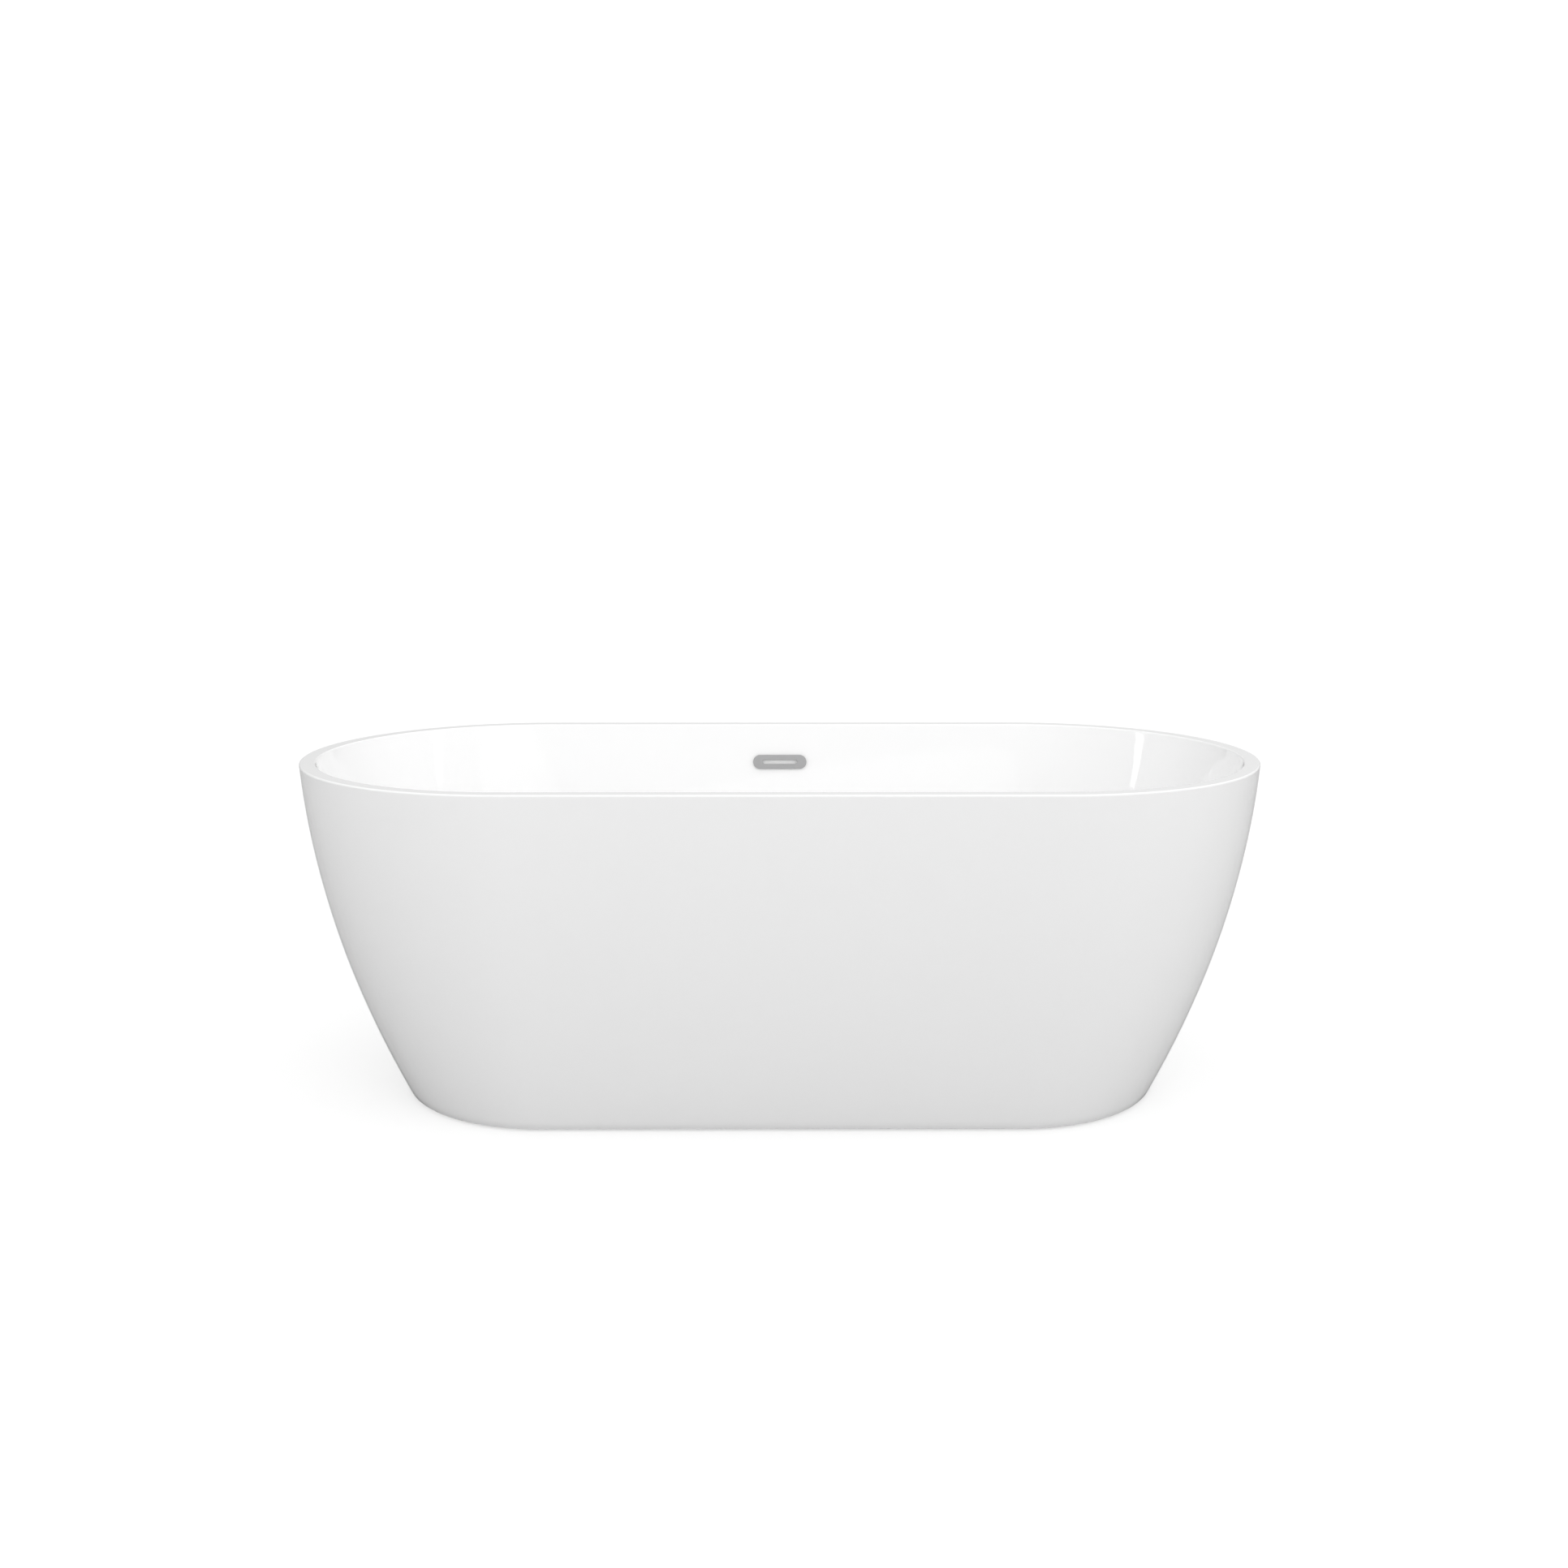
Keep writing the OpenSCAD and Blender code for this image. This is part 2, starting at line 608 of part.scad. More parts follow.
module ring(r, bore, z0, z1) {
    translate([0, 0, z0]) difference() {
        cylinder(r = r, h = z1 - z0);
        translate([0, 0, -cut]) cylinder(r = bore, h = z1 - z0 + 2 * cut);
    }
}
module drain_flange() {
    spoke = 3;
    color(chrome) {
        difference() {
            union() {
                translate([0, 0, flange_z]) cylinder(r1 = waste_flange_r, r2 = waste_flange_r - 1.5, h = disc_t);
                translate([0, 0, tube_low]) cylinder(r = tube_r, h = flange_z - tube_low + 1);
            }
            translate([0, 0, tube_low - cut]) cylinder(r = waste_r, h = disc_top - tube_low + 2 * cut);
        }
        difference() {
            union() {
                translate([0, 0, hub_top - hub_h]) cylinder(r = hub_r, h = hub_h);
                for (q = [0 : 60 : 120]) rotate([0, 0, q])
                    translate([-waste_r - 1, -spoke / 2, hub_top - hub_h]) cube([2 * waste_r + 2, spoke, hub_h]);
            }
            translate([0, 0, hub_top - hub_h - cut]) cylinder(r = stem_r - 1, h = hub_h + 2 * cut);
        }
    }
}
module drain_seal() { color(rubber) ring(waste_flange_r - 2, tube_r, floor_z, flange_z); }
washer_t = 3;
locknut_h = 8;
module drain_washer() { color(rubber) ring(waste_flange_r, tube_r, board_top - washer_t, board_top); }
module drain_locknut() {
    color(plastic) translate([0, 0, board_top - washer_t - locknut_h]) difference() {
        union() {
            cylinder(r = waste_flange_r - 1, h = locknut_h);
            for (q = [0 : 60 : 300]) rotate([0, 0, q])
                translate([waste_flange_r - 3, -3, 0]) cube([6, 6, locknut_h]);
        }
        translate([0, 0, -cut]) cylinder(r = tube_r, h = locknut_h + 2 * cut);
    }
}
module drain_tee() {
    socket_top = board_top - washer_t - locknut_h - 2;
    color(plastic) difference() {
        union() {
            translate([0, 0, tube_low - 3]) cylinder(r = tube_r + tee_wall, h = socket_top - tube_low + 3);
            translate([0, 0, tee_floor - tee_wall]) cylinder(r = tee_r, h = tube_low - tee_floor + tee_wall);
            translate([0, 0, tee_low]) cylinder(r = neck_r, h = tee_floor - tee_low);
            translate([0, 0, hose_z]) rotate([-90, 0, 0]) cylinder(r = hose_bore, h = tee_r + tee_spigot_l);
        }
        translate([0, 0, tube_low]) cylinder(r = tube_r, h = socket_top - tube_low + cut);
        translate([0, 0, tee_floor]) cylinder(r = waste_r, h = tube_low - tee_floor + cut);
        translate([0, 0, tee_low - cut]) cylinder(r = tail_r, h = tee_floor - tee_low + 2 * cut);
        translate([0, 0, hose_z]) rotate([-90, 0, 0])
            cylinder(r = hose_bore - body_wall, h = tee_r + tee_spigot_l + cut);
    }
}
tail_washer_t = 4;
nut_lip = 3;
nut_low = tee_low - tail_washer_t - nut_lip;    // underside of the tail nut
bead_low = nut_low - 3;                         // a bead below the nut stops the trap's socket
relief = 1;                                     // height of the relief under the bead
module tail_pipe() {
    core_r = tail_r - 0.2;
    color(chrome) difference() {
        union() {
            translate([0, 0, tail_end]) cylinder(r = core_r, h = tee_floor - tail_end);
            translate([0, 0, tail_end]) cylinder(r = tail_r, h = bead_low - relief - tail_end);
            translate([0, 0, bead_low]) cylinder(r = tail_r + 1.5, h = nut_low - bead_low);
            translate([0, 0, bead_low]) cylinder(r = tail_r, h = tee_floor - bead_low);
        }
        translate([0, 0, tail_end - cut]) cylinder(r = tail_r - tail_t, h = tee_floor - tail_end + 2 * cut);
    }
}
module tail_washer() { color(rubber) ring(neck_r, tail_r, tee_low - tail_washer_t, tee_low); }
module tail_nut() {
    color(plastic) difference() {
        union() {
            translate([0, 0, nut_low]) cylinder(r = neck_r + 3.5, h = tee_low + 10 - nut_low);
            for (q = [0 : 45 : 315]) rotate([0, 0, q])
                translate([neck_r + 2, -2, nut_low]) cube([3, 4, tee_low + 8 - nut_low]);
        }
        translate([0, 0, tee_low - tail_washer_t]) cylinder(r = neck_r, h = tail_washer_t + 10 + cut);
        translate([0, 0, nut_low - cut]) cylinder(r = tail_r, h = nut_lip + 2 * cut);
    }
}

// ---- Stopper, drawn open: up by its whole travel ----

cap_gap = 0.2;                                   // closed cap above the flange
cap_z = disc_top + cap_gap + stopper_travel;     // underside of the open cap
cap_t = 3;
cap_stub = 3;
seal_h = 4.5;
barrel_low = hub_top;
barrel_r = hub_r + 1;
barrel_floor = 4;
barrel_top = floor_z - 4;
stem_low = barrel_low + barrel_floor + stopper_travel + 7;
module stopper_cap() {
    color(chrome) translate([0, 0, cap_z]) difference() {
        union() {
            cylinder(r = cap_r, h = cap_t);
            translate([0, 0, cap_t]) cylinder(r1 = cap_r, r2 = cap_r - 4, h = 1.5);
            translate([0, 0, cap_t + 1.5]) cylinder(r1 = cap_r - 4, r2 = cap_r - 14, h = 1.5);
        }
        translate([0, 0, -cut]) cylinder(r = stem_r / 2, h = cap_stub + cut);
    }
}
module stopper_seal() { color(rubber) ring(waste_r - 0.4, stem_r, cap_z - seal_h, cap_z); }
module stopper_stem() {
    color([0.80, 0.68, 0.38]) {
        translate([0, 0, stem_low]) cylinder(r = stem_r, h = cap_z - stem_low);
        translate([0, 0, cap_z]) cylinder(r = stem_r / 2, h = cap_stub);
    }
}
module stopper_barrel() {
    color([0.80, 0.68, 0.38]) difference() {
        union() {
            translate([0, 0, barrel_low]) cylinder(r = barrel_r, h = barrel_top - barrel_low);
            translate([0, 0, barrel_low - hub_h - 3]) cylinder(r = stem_r - 1, h = hub_h + 4);
        }
        translate([0, 0, barrel_low + barrel_floor])
            cylinder(r = stem_r + run_gap, h = barrel_top - barrel_low);
    }
}

// The spring: a round wire swept along a helix
wire_r = 0.45;
spring_turns = 6;
spring_sides = 6;
spring_steps = 12;      // rings in each turn
spring_r = stem_r - 0.6 - wire_r;
spring_low = barrel_low + barrel_floor + wire_r;
spring_rise = stem_low - wire_r - spring_low;
spring_n = spring_turns * spring_steps;
function helix(i) = let (q = 360 * i / spring_steps)
    [spring_r * cos(q), spring_r * sin(q), spring_low + spring_rise * i / spring_n];
function wire_ring(i) = let (q = 360 * i / spring_steps, c = helix(i))
    [for (k = [0 : spring_sides - 1]) let (w = 360 * k / spring_sides)
        c + wire_r * [cos(w) * cos(q), cos(w) * sin(q), sin(w)]];
module stopper_spring() {
    m = spring_sides;
    color(steel) polyhedron(
        [for (i = [0 : spring_n]) each wire_ring(i)],
        concat(
            [[for (k = [m - 1 : -1 : 0]) k]],
            [for (i = [0 : spring_n - 1]) for (k = [0 : m - 1])
                let (p = i * m + k, p2 = i * m + (k + 1) % m) each [[p, p2, p2 + m], [p, p2 + m, p + m]]],
            [[for (k = [0 : m - 1]) spring_n * m + k]]));
}

basin();
skirt();
base_board();
rail_front();
rail_back();
crossbar_left();
crossbar_mid_left();
crossbar_mid_right();
crossbar_right();
skirt_bracket_front_left();
skirt_bracket_front_right();
skirt_bracket_back_left();
skirt_bracket_back_right();
bracket_screws();
weld_nuts();
lock_nuts();
foot_stud_front_left();
foot_stud_front_right();
foot_stud_back_left();
foot_stud_back_right();
foot_pad_front_left();
foot_pad_front_right();
foot_pad_back_left();
foot_pad_back_right();
overflow_cover();
overflow_insert();
overflow_screws();
overflow_gasket();
overflow_body();
overflow_hose();
hose_clips();
drain_flange();
drain_seal();
drain_washer();
drain_locknut();
drain_tee();
tail_pipe();
tail_washer();
tail_nut();
stopper_cap();
stopper_seal();
stopper_stem();
stopper_barrel();
stopper_spring();
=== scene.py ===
"""A freestanding double-ended bathtub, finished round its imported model: the acrylic shells, the bright
fittings and the parts under the tub. Run as a script, it makes every piece, the studio and the camera."""
import json
import math

import bmesh
import bpy
from mathutils import Matrix, Vector


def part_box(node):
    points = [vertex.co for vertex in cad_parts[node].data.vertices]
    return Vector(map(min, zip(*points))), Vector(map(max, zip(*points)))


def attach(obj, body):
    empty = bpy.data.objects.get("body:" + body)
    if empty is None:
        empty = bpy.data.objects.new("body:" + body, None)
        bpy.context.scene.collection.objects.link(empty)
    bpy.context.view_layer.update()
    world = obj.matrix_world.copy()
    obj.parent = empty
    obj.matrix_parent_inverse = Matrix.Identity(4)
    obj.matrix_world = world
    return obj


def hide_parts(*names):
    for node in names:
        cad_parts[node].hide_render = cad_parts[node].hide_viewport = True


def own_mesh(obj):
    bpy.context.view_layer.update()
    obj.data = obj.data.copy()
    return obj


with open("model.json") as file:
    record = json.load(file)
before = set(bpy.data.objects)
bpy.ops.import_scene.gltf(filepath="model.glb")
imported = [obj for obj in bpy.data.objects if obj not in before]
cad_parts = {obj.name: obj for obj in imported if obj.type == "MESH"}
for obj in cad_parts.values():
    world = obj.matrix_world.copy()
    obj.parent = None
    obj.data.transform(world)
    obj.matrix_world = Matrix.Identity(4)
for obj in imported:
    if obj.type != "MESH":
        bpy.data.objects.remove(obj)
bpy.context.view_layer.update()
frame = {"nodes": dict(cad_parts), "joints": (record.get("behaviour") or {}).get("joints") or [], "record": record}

bl_info = {
    "name": "Freestanding bathtub",
    "version": (1, 0, 0),
    "blender": (4, 5, 0),
    "location": "3D View > Sidebar > Bathtub",
    "description": "Finishes a freestanding bathtub: shells, overflow, waste, feet, hose and studio",
    "category": "Object",
}

MM = 0.001


def middle(node):
    """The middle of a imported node's box."""
    low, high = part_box(node)
    return (low + high) / 2


def extent(node):
    """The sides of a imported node's box."""
    low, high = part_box(node)
    return high - low


def joint_range(name):
    """The lowest and highest value of a sliding joint, in metres."""
    return next(j["range_m"] for j in frame["joints"] if j["name"] == name)


RIM_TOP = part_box("basin")[1].z
CORNERS = ("front_left", "front_right", "back_left", "back_right")


# ---- Sizes and colours that a user would change ----

class TubShape(bpy.types.PropertyGroup):
    """Form of the two shells."""
    length: bpy.props.FloatProperty(
        name="Length", description="Length over the rim", unit="LENGTH", default=extent("basin").x)
    width: bpy.props.FloatProperty(
        name="Width", description="Width over the rim", unit="LENGTH", default=extent("basin").y)
    foot_length: bpy.props.FloatProperty(
        name="Foot length", description="Length of the apron at the floor", unit="LENGTH", default=1.355)
    foot_width: bpy.props.FloatProperty(
        name="Foot width", description="Width of the apron at the floor", unit="LENGTH", default=0.576)
    rim_reach: bpy.props.FloatProperty(
        name="Rim reach", description="Reach of the rim's round ends", unit="LENGTH", default=0.396)
    foot_reach: bpy.props.FloatProperty(
        name="Foot reach", description="Reach of the foot's round ends", unit="LENGTH", default=0.270)
    end_belly: bpy.props.FloatProperty(
        name="End belly", description="Belly of the ends, 0 straight to 1 upright at the rim",
        default=0.75)
    side_belly: bpy.props.FloatProperty(
        name="Side belly", description="Belly of the sides, 0 straight to 1 upright at the rim",
        default=1.0)
    rim_width: bpy.props.FloatProperty(
        name="Rim width", description="Width of the flat rim", unit="LENGTH", default=0.028)
    rim_round: bpy.props.FloatProperty(
        name="Rim rounding", description="Radius of the rim's edges", unit="LENGTH", default=0.003)
    wall: bpy.props.FloatProperty(
        name="Basin wall", description="Thickness of the basin", unit="LENGTH", default=0.005)
    apron_wall: bpy.props.FloatProperty(
        name="Apron wall", description="Thickness of the apron", unit="LENGTH", default=0.0045)
    flange_width: bpy.props.FloatProperty(
        name="Return flange", description="Width of the apron's return flange", unit="LENGTH",
        default=0.030)
    depth: bpy.props.FloatProperty(
        name="Depth", description="Depth from the rim to the waste", unit="LENGTH", default=0.440)
    fall: bpy.props.FloatProperty(
        name="Fall", description="Fall of the floor towards the waste", unit="LENGTH", default=0.004)
    corner_height: bpy.props.FloatProperty(
        name="Corner height", description="Height of the round between wall and floor", unit="LENGTH",
        default=0.100)
    corner_end: bpy.props.FloatProperty(
        name="End corner reach", description="Reach of that round at the ends", unit="LENGTH",
        default=0.120)
    corner_side: bpy.props.FloatProperty(
        name="Side corner reach", description="Reach of that round at the sides", unit="LENGTH",
        default=0.110)
    end_lean_top: bpy.props.FloatProperty(
        name="End lean at rim", description="Lean of the end walls at the rim", subtype="ANGLE",
        default=math.radians(12))
    end_lean_low: bpy.props.FloatProperty(
        name="End lean below", description="Lean of the end walls above the corner", subtype="ANGLE",
        default=math.radians(40))
    side_lean_top: bpy.props.FloatProperty(
        name="Side lean at rim", description="Lean of the side walls at the rim", subtype="ANGLE",
        default=math.radians(6))
    side_lean_low: bpy.props.FloatProperty(
        name="Side lean below", description="Lean of the side walls above the corner", subtype="ANGLE",
        default=math.radians(20))
    seat_radius: bpy.props.FloatProperty(
        name="Waste seat", description="Radius of the level seat round the waste", unit="LENGTH",
        default=0.050)
    overflow_depth: bpy.props.FloatProperty(
        name="Overflow depth", description="Depth of the overflow's middle below the rim", unit="LENGTH",
        default=0.074)


class TubFinish(bpy.types.PropertyGroup):
    """Colours of the finishes."""
    acrylic: bpy.props.FloatVectorProperty(
        name="Acrylic", description="Colour of both shells", subtype="COLOR", default=(0.90, 0.90, 0.90))
    satin_chrome: bpy.props.FloatVectorProperty(
        name="Satin chrome", description="Colour of the overflow cover", subtype="COLOR",
        default=(0.36, 0.36, 0.363))
    chrome: bpy.props.FloatVectorProperty(
        name="Chrome", description="Colour of the waste's bright parts", subtype="COLOR",
        default=(0.70, 0.71, 0.72))
    steel: bpy.props.FloatVectorProperty(
        name="Galvanised steel", description="Colour of the frame", subtype="COLOR",
        default=(0.50, 0.52, 0.54))
    white_plastic: bpy.props.FloatVectorProperty(
        name="White plastic", description="Colour of the moulded waste parts", subtype="COLOR",
        default=(0.88, 0.88, 0.88))
    hose: bpy.props.FloatVectorProperty(
        name="Hose", description="Colour of the overflow hose", subtype="COLOR", default=(0.46, 0.47, 0.48))


class TubStudio(bpy.types.PropertyGroup):
    """Camera, floor and lights."""
    camera_place: bpy.props.FloatVectorProperty(
        name="Camera place", description="Where the camera stands", subtype="XYZ", unit="LENGTH",
        default=(-0.0046, -3.1956, 1.1353))
    camera_pitch: bpy.props.FloatProperty(
        name="Camera pitch", description="How far the camera looks down", subtype="ANGLE",
        default=math.radians(10.45))
    camera_turn: bpy.props.FloatProperty(
        name="Camera turn", description="How far the camera looks to the right", subtype="ANGLE",
        default=math.radians(0.21))
    lens: bpy.props.FloatProperty(
        name="Lens", description="Focal length on a 36 mm sensor, in millimetres", default=41.454)
    backdrop: bpy.props.FloatProperty(
        name="Backdrop", description="Brightness of the room behind", default=1.12)
    room_light: bpy.props.FloatProperty(
        name="Room light", description="Brightness of the light from all round", default=1.26)
    low_light: bpy.props.FloatProperty(
        name="Low light", description="Brightness of the light from below", default=0.10)
    back_dim: bpy.props.FloatProperty(
        name="Back dimming", description="How much darker the room is behind the tub", default=0.63)
    left_dim: bpy.props.FloatProperty(
        name="Left dimming", description="How much darker the room is on the left", default=0.28)
    key_light: bpy.props.FloatProperty(
        name="Key light", description="Strength of the soft light from the front", default=0.23)
    strip_power: bpy.props.FloatProperty(
        name="Strip light", description="Power of the left strip light", unit="POWER", default=20.0)
    floor_cover: bpy.props.FloatProperty(
        name="Floor cover", description="How solid the floor looks against the backdrop", default=0.5)


SETTINGS = (("tub_shape", TubShape), ("tub_finish", TubFinish), ("tub_studio", TubStudio))


# ---- Shader maths ----

class Field:
    """One shader socket. Operators on it add Math nodes."""

    def __init__(self, graph, socket):
        self.graph, self.socket = graph, socket

    def maths(self, operation, *values):
        return self.graph.node("ShaderNodeMath", {"operation": operation}, values)

    def __add__(self, other):
        return self.maths("ADD", self, other)

    __radd__ = __add__

    def __sub__(self, other):
        return self.maths("SUBTRACT", self, other)

    def __rsub__(self, other):
        return self.maths("SUBTRACT", other, self)

    def __mul__(self, other):
        return self.maths("MULTIPLY", self, other)

    __rmul__ = __mul__

    def __truediv__(self, other):
        return self.maths("DIVIDE", self, other)

    def __rtruediv__(self, other):
        return self.maths("DIVIDE", other, self)

    def __pow__(self, other):
        return self.maths("POWER", self, other)

    def at_least(self, level):
        return self.maths("MAXIMUM", self, level)

    def sine(self):
        return self.maths("SINE", self)


class Graph:
    """A node tree that grows one node at a time."""

    def __init__(self, tree):
        self.tree = tree

    def node(self, kind, settings, values, output=0):
        """Adds a node, sets it, then fills its sockets with values or links. Gives back one output."""
        made = self.tree.nodes.new(kind)
        for name, value in settings.items():
            setattr(made, name, value)
        pairs = values.items() if isinstance(values, dict) else enumerate(values)
        for key, value in pairs:
            if isinstance(value, Field):
                self.tree.links.new(value.socket, made.inputs[key])
            else:
                made.inputs[key].default_value = value
        return Field(self, made.outputs[output])


class Paint(Graph):
    """A material in the making, with its Principled shader."""

    def __init__(self, name, color, roughness, metallic=0.0, **sockets):
        self.material = bpy.data.materials.new(name + "_finish")
        self.material.use_nodes = True
        self.material.diffuse_color = (*color, 1)
        self.material.roughness, self.material.metallic = roughness, metallic
        super().__init__(self.material.node_tree)
        self.shader = self.tree.nodes["Principled BSDF"]
        self.color, self.roughness = tuple(color), roughness
        values = {"Base Color": (*color, 1), "Roughness": roughness, "Metallic": metallic, **sockets}
        for socket, value in values.items():
            self.shader.inputs[socket].default_value = value
        self.places = self.node("ShaderNodeTexCoord", {}, (), "Object")

    def noise(self, scale, detail=3.0, stretch=None, distortion=0.0):
        where = self.places
        if stretch:
            where = self.node("ShaderNodeMapping", {}, {"Vector": where, "Scale": stretch})
        return self.node("ShaderNodeTexNoise", {}, {
            "Vector": where, "Scale": scale, "Detail": detail, "Distortion": distortion})

    def cells(self, scale):
        """One random colour for each cell."""
        return self.node("ShaderNodeTexVoronoi", {}, {"Vector": self.places, "Scale": scale}, "Color")

    def blend(self, amount, first, second):
        """A colour between two others. Each is a colour of three numbers or a Field."""
        pair = [c if isinstance(c, Field) else (*c, 1) for c in (first, second)]
        return self.node("ShaderNodeMix", {"data_type": "RGBA"}, {0: amount, 6: pair[0], 7: pair[1]}, 2)

    def feed(self, socket, value):
        """Links a Field to one of the shader's sockets."""
        self.tree.links.new(value.socket, self.shader.inputs[socket])

    def mottle(self, amount, second):
        """Lets the base colour wander towards a second colour."""
        self.feed("Base Color", self.blend(amount, self.color, second))

    def wear(self, value, spread):
        """Varies the roughness about its own value."""
        self.feed("Roughness", (value - 0.5) * spread + self.roughness)

    def bump(self, height, distance, strength):
        """Raises the surface by a height, and gives back the finished paint."""
        self.feed("Normal", self.node("ShaderNodeBump", {}, {
            "Height": height, "Distance": distance, "Strength": strength}, "Normal"))
        return self


def tint(color, share):
    """A darker or lighter copy of a colour."""
    return tuple(min(c * share, 1.0) for c in color)


# ---- Finishes ----

def white_acrylic():
    finish = bpy.context.scene.tub_finish
    paint = Paint("white_acrylic", finish.acrylic, roughness=0.045, IOR=1.49)
    paint.shader.inputs["Coat Weight"].default_value = 0.35
    paint.shader.inputs["Coat Roughness"].default_value = 0.02
    paint.mottle(paint.noise(2.6, detail=2.0) * 0.5, tint(finish.acrylic, 0.985))
    paint.wear(paint.noise(9.0, detail=4.0), spread=0.02)
    return paint.bump(paint.noise(55.0, detail=2.0), distance=0.04 * MM, strength=0.35)


def satin_chrome():
    finish = bpy.context.scene.tub_finish
    paint = Paint("satin_chrome", finish.satin_chrome, roughness=0.34, metallic=1.0)
    grain = paint.noise(900.0, detail=2.0, stretch=(0.05, 1.0, 1.0))
    paint.mottle(grain * 0.25, tint(finish.satin_chrome, 0.93))
    paint.wear(grain, spread=0.10)
    return paint.bump(grain, distance=0.01 * MM, strength=0.5)


def chrome():
    finish = bpy.context.scene.tub_finish
    paint = Paint("chrome", finish.chrome, roughness=0.07, metallic=1.0)
    haze = paint.noise(60.0, detail=4.0)
    paint.mottle(haze * 0.3, tint(finish.chrome, 0.95))
    paint.wear(haze, spread=0.05)
    return paint.bump(paint.noise(140.0, detail=2.0), distance=0.02 * MM, strength=0.2)


def galvanised_steel():
    finish = bpy.context.scene.tub_finish
    paint = Paint("galvanised_steel", finish.steel, roughness=0.42, metallic=0.9)
    spangle = paint.node("ShaderNodeSeparateColor", {}, {"Color": paint.cells(95.0)})
    paint.mottle(spangle * 0.55 + paint.noise(14.0) * 0.35, tint(finish.steel, 0.72))
    paint.wear(spangle, spread=0.22)
    return paint.bump(paint.noise(420.0, detail=3.0), distance=0.05 * MM, strength=0.4)


def zinc():
    paint = Paint("zinc_plated_steel", (0.58, 0.59, 0.58), roughness=0.27, metallic=1.0)
    cloud = paint.noise(70.0, detail=4.0)
    paint.mottle(cloud * 0.5, (0.50, 0.49, 0.42))
    paint.wear(cloud, spread=0.16)
    return paint.bump(paint.noise(900.0, detail=2.0), distance=0.02 * MM, strength=0.4)


def brass():
    paint = Paint("brass", (0.72, 0.50, 0.20), roughness=0.24, metallic=1.0)
    cloud = paint.noise(80.0, detail=4.0)
    paint.mottle(cloud * 0.5, (0.58, 0.38, 0.15))
    paint.wear(cloud, spread=0.14)
    drawn = paint.noise(1300.0, detail=2.0, stretch=(0.02, 0.02, 1.0))
    return paint.bump(drawn, distance=0.02 * MM, strength=0.5)


def black_rubber():
    paint = Paint("black_rubber", (0.022, 0.022, 0.023), roughness=0.62)
    dust = paint.noise(160.0, detail=5.0)
    paint.mottle(dust * 0.4, (0.045, 0.044, 0.042))
    paint.wear(dust, spread=0.2)
    return paint.bump(paint.noise(1100.0, detail=3.0), distance=0.05 * MM, strength=0.5)


def black_nylon():
    paint = Paint("black_nylon", (0.030, 0.030, 0.032), roughness=0.45)
    scuff = paint.noise(110.0, detail=5.0)
    paint.mottle(scuff * 0.4, (0.060, 0.059, 0.058))
    paint.wear(scuff, spread=0.2)
    return paint.bump(paint.noise(1500.0, detail=3.0), distance=0.04 * MM, strength=0.6)


def white_plastic():
    finish = bpy.context.scene.tub_finish
    paint = Paint("white_plastic", finish.white_plastic, roughness=0.38)
    cloud = paint.noise(30.0, detail=3.0)
    paint.mottle(cloud * 0.5, tint(finish.white_plastic, 0.96))
    paint.wear(cloud, spread=0.12)
    return paint.bump(paint.noise(1200.0, detail=3.0), distance=0.03 * MM, strength=0.4)


def grey_hose():
    finish = bpy.context.scene.tub_finish
    paint = Paint("grey_hose", finish.hose, roughness=0.46)
    cloud = paint.noise(45.0, detail=4.0)
    paint.mottle(cloud * 0.5, tint(finish.hose, 0.86))
    paint.wear(cloud, spread=0.16)
    return paint.bump(paint.noise(700.0, detail=3.0), distance=0.04 * MM, strength=0.5)


def plywood():
    paint = Paint("plywood", (0.62, 0.44, 0.25), roughness=0.66)
    grain = paint.noise(26.0, detail=6.0, stretch=(0.06, 1.0, 1.0), distortion=0.6)
    fibre = paint.noise(210.0, detail=3.0, stretch=(0.03, 1.0, 1.0))
    faces = paint.blend(grain, (0.66, 0.48, 0.28), (0.50, 0.33, 0.17))
    height = paint.node("ShaderNodeSeparateXYZ", {}, {"Vector": paint.places}, "Z")
    ply = 2.4 * MM
    layers = (height * (math.pi / ply)).sine() * 0.5 + 0.5
    paint.feed("Base Color", paint.blend(layers * 0.22 + fibre * 0.25, faces, (0.30, 0.18, 0.09)))
    paint.wear(fibre, spread=0.2)
    return paint.bump(fibre * 0.6 + grain * 0.4, distance=0.3 * MM, strength=0.6)


FINISHES = {
    "white_acrylic": white_acrylic, "satin_chrome": satin_chrome, "chrome": chrome,
    "galvanised_steel": galvanised_steel, "zinc_plated_steel": zinc, "brass": brass,
    "black_rubber": black_rubber, "black_nylon": black_nylon, "white_plastic": white_plastic,
    "grey_hose": grey_hose, "plywood": plywood,
}


def finish_of(slot):
    """The material of a slot, made when it is first asked for."""
    return bpy.data.materials.get(slot + "_finish") or FINISHES[slot]().material


SLOTS = {part["node"]: part["material_slot"] for part in frame["record"]["subparts"]}


# ---- Mesh helpers ----

def finished(bm, name, nodes, body="root"):
    """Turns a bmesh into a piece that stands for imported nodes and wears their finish."""
    mesh = bpy.data.meshes.new(name)
    bm.to_mesh(mesh)
    bm.free()
    piece = bpy.data.objects.new(name, mesh)
    bpy.context.scene.collection.objects.link(piece)
    mesh.shade_smooth()
    mesh.materials.append(finish_of(SLOTS[nodes[0]]))
    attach(piece, body)
    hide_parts(*nodes)
    return piece


def sharpen(piece, degrees=32):
    """Keeps the edges that turn further than this crisp."""
    piece.data.set_sharp_from_angle(angle=math.radians(degrees))


